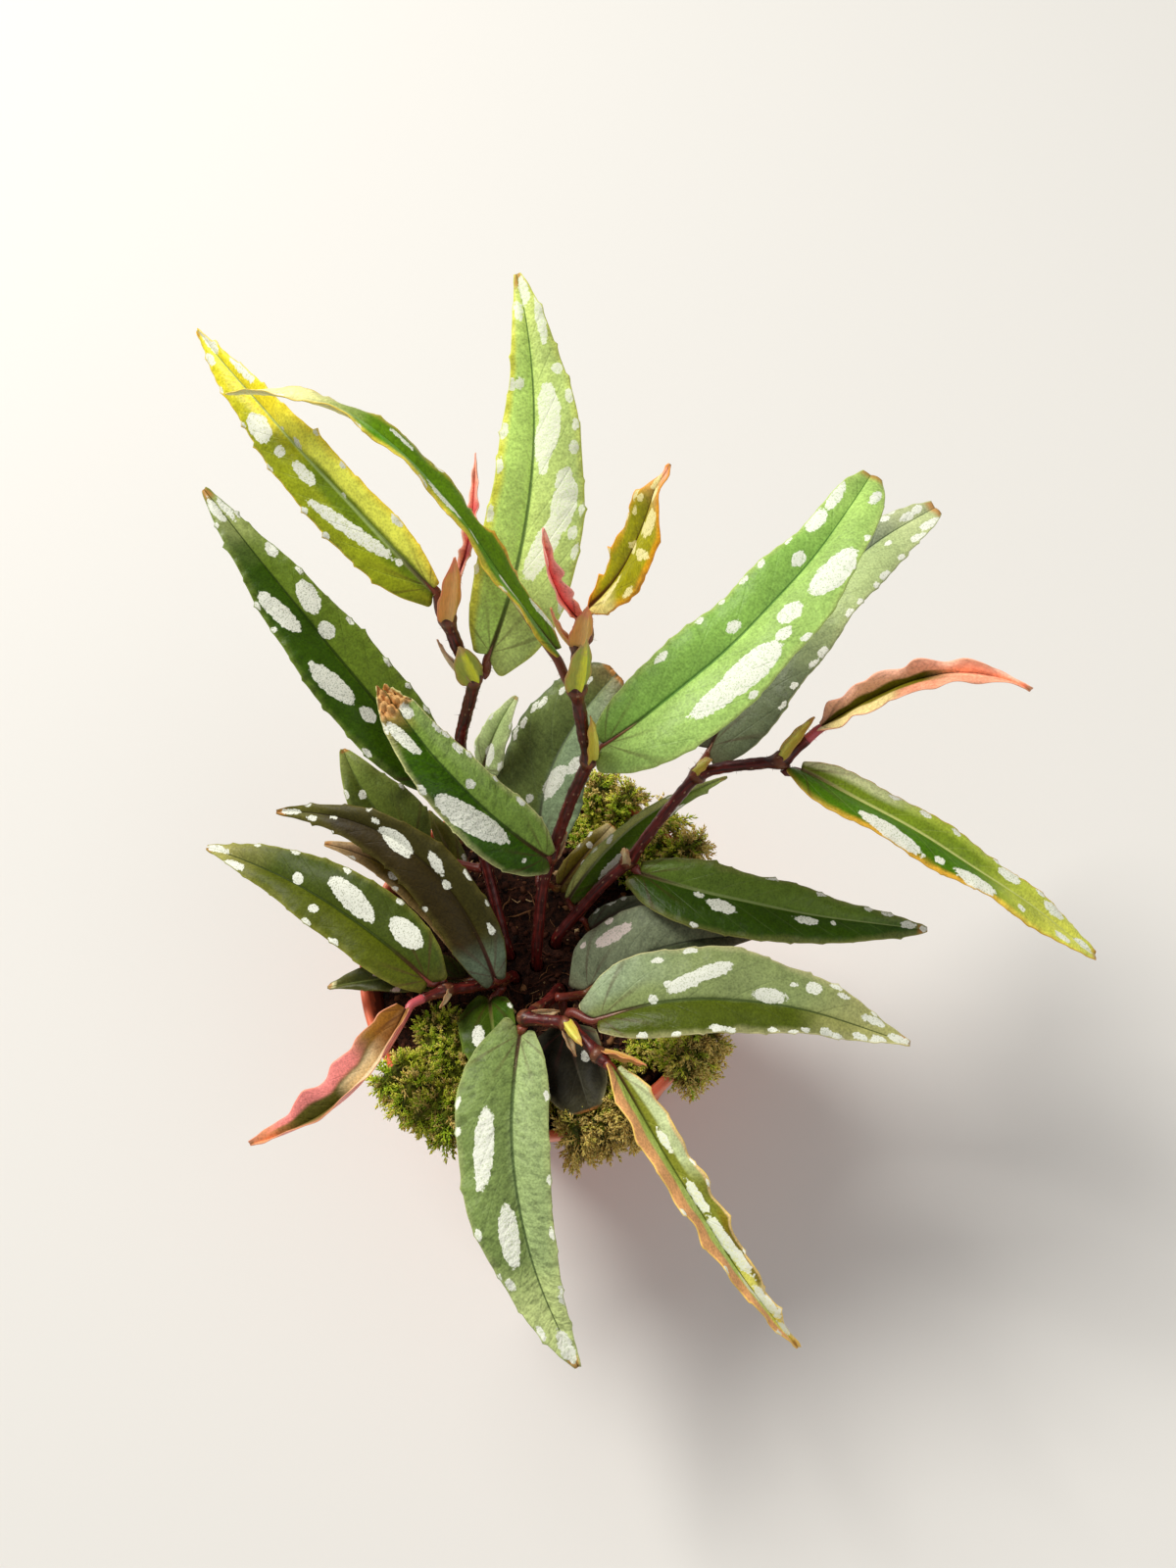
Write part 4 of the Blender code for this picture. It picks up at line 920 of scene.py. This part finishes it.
def add_petiole(pile, leaf):
    """Adds the petiole, from just inside its cane's skin into the midrib's underside, with its hairs."""
    points = np.array(CANES[leaf.cane])
    index = leaf.point % len(points)
    node, radius = points[index, :3], points[index, 3]
    axis = unit(points[min(index + 1, len(points) - 1), :3] - points[max(index - 1, 0), :3])
    base, into, _, normal = midrib_at(leaf, 0.0)
    radii = np.array(PETIOLE_RADII) * min(1.0, leaf.width / FULL_STALK_WIDTH)
    if leaf.point < 0:
        out, foot, radii[0] = axis, node - axis * END_DEPTH, radius
    else:
        towards = base - node
        out = unit(towards - axis * towards.dot(axis))
        foot = node + out * (radius - SIDE_DEPTH)
    reach = math.dist(base, foot)
    path = [foot, foot + out * min(1.2, 0.3 * reach), base - into * min(2.0, 0.3 * reach) - normal * 0.7,
            base - normal * 0.8]
    for s in UNDER_MIDRIB:
        middle, _, _, up = midrib_at(leaf, s)
        path.append(middle - up * 0.72)
    rows, at = resample(soften(np.column_stack([path, radii]), STALK_SOFTENING), STALK_STEP)
    points, faces, around = tube(rows, STALK_SIDES)
    along = np.repeat(at, STALK_SIDES)
    pile.add(points, faces, 2, stack(around, along, 0), stack(along / at[-1], 0, 0))
    add_hairs(pile, rows, int(STALK_HAIRS * len(rows)), STALK_HAIR, 2, seeded("hair", leaf.name))


def add_hairs(pile, rows, count, length, slot, rng):
    """Adds short fine hairs that stand out from a tube."""
    path, radii = rows[:, :3], rows[:, 3]
    along = unit(np.gradient(path, axis=0))
    for _ in range(count):
        k = int(rng.integers(1, len(path) - 1))
        out = unit(np.cross(along[k], rng.normal(size=3)))
        foot = path[k] + out * radii[k] * 0.9 + along[k] * rng.uniform(-0.4, 0.4)
        size = length * rng.uniform(0.5, 1.1)
        top = foot + (out + 0.3 * rng.normal(size=3)) * (size + radii[k] * 0.1)
        one = unit(np.cross(out, along[k])) * HAIR_RADIUS
        two = np.cross(out, one)
        corners = [foot + one, foot - 0.5 * one + two, foot - 0.5 * one - two, top]
        pile.add(corners, [[[0, 1, 3], [1, 2, 3], [2, 0, 3], [2, 1, 0]]], slot, place=(1, 0, 0))


def make_leaf(leaf, stalks, unders):
    """A leaf; unders collects the looks of undersides, which leaves of the same colour share."""
    pile = Pile()
    spots = add_blade(pile, leaf)
    add_petiole(pile, leaf)
    code = (leaf.colours.split() + [UNDERSIDE])[5]
    if code not in unders:
        unders[code] = under_look(code)
    looks = (upper_look(leaf, spots), unders[code], stalks[leaf.stalk])
    made = pile.build("dressed_" + leaf.name, looks, SLOTS[leaf.name])
    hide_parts(leaf.name)


def make_cane(name, looks):
    """A cane with a short swelling at each node, fine hairs and its stipules."""
    points = np.array(CANES[name])
    length, full = lengths(points[:, :3]), points[:, 3]
    nodes = length[2:][full[2:] > NODE_RADIUS]
    slim = np.append(np.minimum(full, CANE_RADIUS)[:-1], full[-1])
    rows, at = resample(soften(np.column_stack([points[:, :3], slim]), CANE_SOFTENING), CANE_STEP)
    share = at / at[-1] * length[-1]
    swell = np.zeros(len(at))
    for node in nodes:
        rise = np.interp(node, length, full) - SWELL_FROM
        swell = np.maximum(swell, rise * np.exp(-((share - node) / SWELL_REACH)**2))
        swell -= RING_DEPTH * np.exp(-((share - node - RING_PLACE) / RING_BREADTH)**2)
    rng = seeded(name)
    uneven = 0.05 * np.sin(0.9 * share + rng.uniform(0, 6)) + 0.04 * np.sin(2.3 * share)
    rows[1:-1, 3] = (rows[:, 3] * SLIM + swell + uneven)[1:-1]
    points, faces, around = tube(rows, CANE_SIDES)
    ring = share - nodes[np.argmin(np.abs(share[:, None] - nodes), axis=1)]
    pile = Pile()
    pile.add(points, faces, 0, stack(around, np.repeat(share, CANE_SIDES), np.repeat(ring, CANE_SIDES)))
    add_hairs(pile, rows[share > SOIL_DEPTH], CANE_HAIRS, CANE_HAIR, 0, rng)
    for slot, paper in enumerate(PAPERS, 1):
        for number, row in enumerate(STIPULES):
            if row[0] == name and row[6] == paper:
                add_stipule(pile, row, number, slot)
    made = pile.build("dressed_" + name, looks, SLOTS[name])
    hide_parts(name)


def add_stipule(pile, row, number, slot):
    cane, index, heading, length, width, lean, _ = row
    heading, lean = math.radians(heading), math.radians(lean)
    node, above = np.array(CANES[cane])[[index, index + 1]]
    axis = unit(above[:3] - node[:3])
    across = np.array([math.cos(heading), math.sin(heading), 0])
    out = unit(across - axis * axis.dot(across))
    start = node[:3] + out * (0.5 * node[3]) - axis
    end = start + (axis * math.cos(lean) + out * math.sin(lean)) * length
    sheath = Leaf(f"sheath{number}", cane, index, tuple(start), tuple(end), width, 0, 0, fold=SHEATH_FOLD,
                  outline=STRAP)
    _, _, right, normal = midrib_at(sheath, 0.5)
    roll = math.degrees(math.atan2(-out.dot(right), -out.dot(normal)))
    sheath = sheath._replace(arch=-SHEATH_BOW * length, roll=roll)
    add_blade(pile, sheath, density=SHEATH_ROWS, thick=PAPER, slots=(slot, slot))


def make_pot():
    radii, heights = np.array(POT_PROFILE, float).T
    turns = np.arange(POT_STEPS) * math.tau / POT_STEPS
    rings = stack(np.outer(radii[1:-1], np.cos(turns)), np.outer(radii[1:-1], np.sin(turns)),
                  heights[1:-1, None])
    points = np.concatenate([[(0, 0, heights[0])], rings.reshape(-1, 3), [(0, 0, heights[-1])]])
    index = 1 + np.arange(len(points) - 2).reshape(-1, POT_STEPS)
    first, last = index[0], index[-1]
    pile = Pile()
    pile.add(points, [ring_faces(index)[:, (0, 3, 2, 1)], stack(0, first, np.roll(first, -1)),
                      stack(len(points) - 1, np.roll(last, -1), last)])
    made = pile.build("dressed_pot", (pot_look(),), SLOTS["pot"])
    cut_drains(made)
    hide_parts("pot")


def cut_drains(pot):
    """Cuts the round drain holes through the floor."""
    cutters = Pile()
    for k in range(DRAIN_HOLES):
        turn = math.tau * (k + 0.5) / DRAIN_HOLES
        x, y = DRAIN_CIRCLE * math.cos(turn), DRAIN_CIRCLE * math.sin(turn)
        cutters.add(*tube([(x, y, z, DRAIN_RADIUS) for z in DRAIN_CUT], DRAIN_SIDES)[:2])
    cutter = cutters.build("drain_cutter", (), SLOTS["pot"])
    boolean = pot.modifiers.new("Drains", "BOOLEAN")
    boolean.operation, boolean.solver, boolean.object = "DIFFERENCE", "EXACT", cutter
    bpy.context.view_layer.update()
    graph = bpy.context.evaluated_depsgraph_get()
    cut = bpy.data.meshes.new_from_object(pot.evaluated_get(graph))
    pot.modifiers.clear()
    pot.data = cut
    bpy.data.objects.remove(cutter)


def scatter(node, count, rng, low):
    """Points on a CAD node where it faces up by more than low, in millimetres, and the normals there."""
    mesh = frame["nodes"][node].data
    mesh.calc_loop_triangles()
    corners = np.empty(len(mesh.vertices) * 3)
    mesh.vertices.foreach_get("co", corners)
    corners = corners.reshape(-1, 3) / MM
    faces = np.empty(len(mesh.loop_triangles) * 3, int)
    mesh.loop_triangles.foreach_get("vertices", faces)
    a, b, c = corners[faces.reshape(-1, 3)].transpose(1, 0, 2)
    cross = np.cross(b - a, c - a)
    normal = unit(cross)
    area = np.where(normal[:, 2] > low, np.linalg.norm(cross, axis=1), 0)
    pick = rng.choice(len(area), count, p=area / area.sum())
    u, w = rng.random((2, count))
    flip = u + w > 1
    u, w = np.where(flip, 1 - u, u), np.where(flip, 1 - w, w)
    return a[pick] + (b - a)[pick] * u[:, None] + (c - a)[pick] * w[:, None], normal[pick]


def moss_shoot(rng):
    """One shoot along +Z, 1 high: a bent stem with a spiral of flat pointed leaves."""
    bend = rng.uniform(0.05, 0.35)
    points = [(bend * z * z + radius * math.cos(a), radius * math.sin(a), z)
              for z, radius in ((0, 0.055), (0.35, 0.05), (0.7, 0.04), (0.95, 0.01)) for a in (0, 2.1, 4.2)]
    faces = [halves(ring_faces(np.arange(12).reshape(4, 3))), [(2, 1, 0), (9, 10, 11)]]
    for share in np.arange(11) / 10:
        z = 0.14 + 0.8 * share**0.9
        turn = 24 * share + rng.uniform(-0.3, 0.3)
        size = 0.42 * (1 - 0.35 * share) * rng.uniform(0.8, 1.2)
        rise = 0.35 + 0.75 * share
        out = np.array([math.cos(turn) * math.cos(rise), math.sin(turn) * math.cos(rise), math.sin(rise)])
        side = np.array([-math.sin(turn), math.cos(turn), 0]) * 0.075
        foot = np.array([bend * z * z, 0, z])
        middle = foot + out * size * 0.4
        faces.append(np.array(LEAFLET) + len(points))
        points += [foot, middle + side, middle - side, middle + np.cross(out, side) * 0.35,
                   foot + out * size]
    return np.array(points), np.concatenate(faces)


def spread(pile, shapes, points, axes, sizes, kinds, rng, heights=False):
    """Adds a copy of one of the shapes at every point, with its +Z along the axis and a random spin.

    kinds gives each copy two values for its look; heights puts a point's height before them."""
    which = rng.integers(len(shapes), size=len(points))
    for number, (shape, faces) in enumerate(shapes):
        at = np.flatnonzero(which == number)
        axis = axes[at]
        spin = unit(np.cross(axis, rng.normal(size=axis.shape)))
        turn = np.stack([spin, np.cross(axis, spin), axis], -1)
        placed = np.einsum("nij,kj->nki", turn, shape) * sizes[at, None, None] + points[at, None]
        index = faces + (np.arange(len(at)) * len(shape))[:, None, None]
        one, two = np.repeat(kinds[at], len(shape), axis=0).T
        pile.add(placed, [index.reshape(-1, 3)], 0, (0, 0, 0),
                 stack(np.tile(shape[:, 2], len(at)) if heights else one, one, two))


def make_moss(name, count, dryness, bed, shoots):
    rng = seeded(name)
    points, normal = scatter(name, count, rng, MOSS_FACING)
    rim = np.clip((np.hypot(points[:, 0], points[:, 1]) - RIM_INSIDE) / RIM_WIDTH, 0, 1)
    axis = unit(normal + np.outer(0.55 - 1.2 * rim, (0, 0, 1)) + 0.35 * rng.normal(size=normal.shape))
    size = rng.uniform(*SHOOT_HEIGHTS, count) * (1 + 0.6 * rim)
    dry = 1 - (1 - rng.random(count)) * (1 - dryness * rim)
    patch = np.sin(points[:, 0] * 0.45 + 1) * np.sin(points[:, 1] * 0.38) * 0.3
    kinds = stack(np.clip(rng.random(count) * 0.7 + 0.15 + patch, 0, 1), dry)
    pile = Pile()
    spread(pile, [moss_shoot(rng) for _ in range(SHOOT_KINDS)], points - normal * SHOOT_DEPTH, axis, size,
           kinds, rng, True)
    pile.build("shoots_" + name, (shoots,), SLOTS[name])
    show(name, bed)


def crumb_shape(rng):
    """An irregular lump about 1 across."""
    tilt = math.pi * np.arange(1, 5)[:, None] / 5
    turn = math.tau * (np.arange(7) + 0.5 * (np.arange(1, 5)[:, None] % 2)) / 7
    radius = 0.5 * rng.uniform(0.65, 1.15, (4, 7))
    wide = radius * np.sin(tilt)
    rings = stack(wide * np.cos(turn) * 1.25, wide * np.sin(turn), -radius * np.cos(tilt) * 0.7)
    points = np.concatenate([[(0, 0, -0.45)], rings.reshape(-1, 3), [(0, 0, 0.4)]])
    index = 1 + np.arange(28).reshape(4, 7)
    first, last = index[0], index[-1]
    return points, np.concatenate([stack(0, np.roll(first, -1), first), halves(ring_faces(index)),
                                   stack(29, last, np.roll(last, -1))])


def fibre_shape(rng):
    """A thin crooked fibre lying along +X, about 1 long."""
    bends = rng.normal(size=(5, 2)) * 0.06
    points, blocks, _ = tube(stack(np.linspace(-0.5, 0.5, 5), bends[:, 0], 0.03 + np.abs(bends[:, 1]),
                                   (0.012, 0.03, 0.035, 0.028, 0.008)), 4)
    return points, halves(np.concatenate(blocks))


def make_soil():
    rng = seeded("soil")
    pile = Pile()
    points, normal = scatter("soil", SOIL_LUMPS, rng, SOIL_FACING)
    size = 0.5 + 2.2 * rng.random(SOIL_LUMPS)**2.5
    shade = rng.random(SOIL_LUMPS)
    spread(pile, [crumb_shape(rng) for _ in range(LUMP_KINDS)], points + normal * 0.15 * size[:, None],
           unit(normal + 0.5 * rng.normal(size=normal.shape)), size, stack(shade, shade), rng)
    points, normal = scatter("soil", SOIL_FIBRES, rng, SOIL_FACING)
    size = rng.uniform(*FIBRE_LENGTHS, SOIL_FIBRES)
    shade = rng.uniform(0.5, 1.0, SOIL_FIBRES)
    keep = np.linalg.norm(points[:, :2], axis=1) + size / 2 < SOIL_RADIUS
    spread(pile, [fibre_shape(rng) for _ in range(FIBRE_KINDS)], (points + normal * 0.1)[keep],
           unit(normal + 0.12 * rng.normal(size=normal.shape))[keep], size[keep],
           stack(shade, shade)[keep], rng)
    pile.build("soil_bits", (crumb_look(),), SLOTS["soil"])
    show("soil", soil_look())


def show(node, look):
    """Gives a CAD node that stays in view its material."""
    mesh = frame["nodes"][node].data
    mesh.materials.clear()
    mesh.materials.append(look)


def make_stage():
    mesh = bpy.data.meshes.new("floor")
    mesh.from_pydata([(x * FLOOR_REACH, y * FLOOR_REACH, -FLOOR_DEPTH)
                      for x, y in ((-1, -1), (1, -1), (1, 1), (-1, 1))], [], [(0, 1, 2, 3)])
    mesh.materials.append(Graph("floor", "dedcd8", 0.8).finish())
    new_object("floor", mesh)
    for name, (place, size, power, colour) in LAMPS.items():
        light = bpy.data.lights.new(name, "AREA")
        light.shape, light.size, light.energy, light.color = "DISK", size, power, colour
        made = new_object(name, light)
        made.location = place
        made.rotation_euler = (Vector(LAMP_AIM) - Vector(place)).to_track_quat("-Z", "Y").to_euler()
    world = bpy.data.worlds.new("studio")
    world.use_nodes = True
    world.node_tree.nodes["Background"].inputs["Color"].default_value = (1.0, 0.99, 0.97, 1)
    world.node_tree.nodes["Background"].inputs["Strength"].default_value = 0.3
    bpy.context.scene.world = world
    bpy.context.scene.view_settings.view_transform = "Standard"


def make_camera():
    camera = bpy.data.cameras.new("camera")
    camera.lens, camera.sensor_width, camera.sensor_fit = LENS, SENSOR, "AUTO"
    camera.clip_start, camera.clip_end = 0.01, 20
    made = new_object("camera", camera)
    turn = Matrix(CAMERA_TURN).transposed().to_4x4()
    made.matrix_world = Matrix.Translation(Vector(CAMERA_PLACE) * MM) @ turn
    bpy.context.scene.camera = made


SLOTS = {row["node"]: row["material_slot"] for row in frame["record"]["subparts"]}

make_stage()
make_camera()
STALK_LOOKS = {kind: stalk_look(kind, *codes) for kind, codes in STALKS.items()}
UNDERS = {}
for leaf in LEAVES:
    make_leaf(leaf, STALK_LOOKS, UNDERS)
CANE_LOOKS = [bark_look()] + [paper_look(name, *codes) for name, codes in PAPERS.items()]
for name in CANES:
    make_cane(name, CANE_LOOKS)
make_pot()
make_soil()
BED, SHOOTS = moss_bed_look(), moss_look()
for name, (count, dryness) in MOSS.items():
    make_moss(name, count, dryness, BED, SHOOTS)
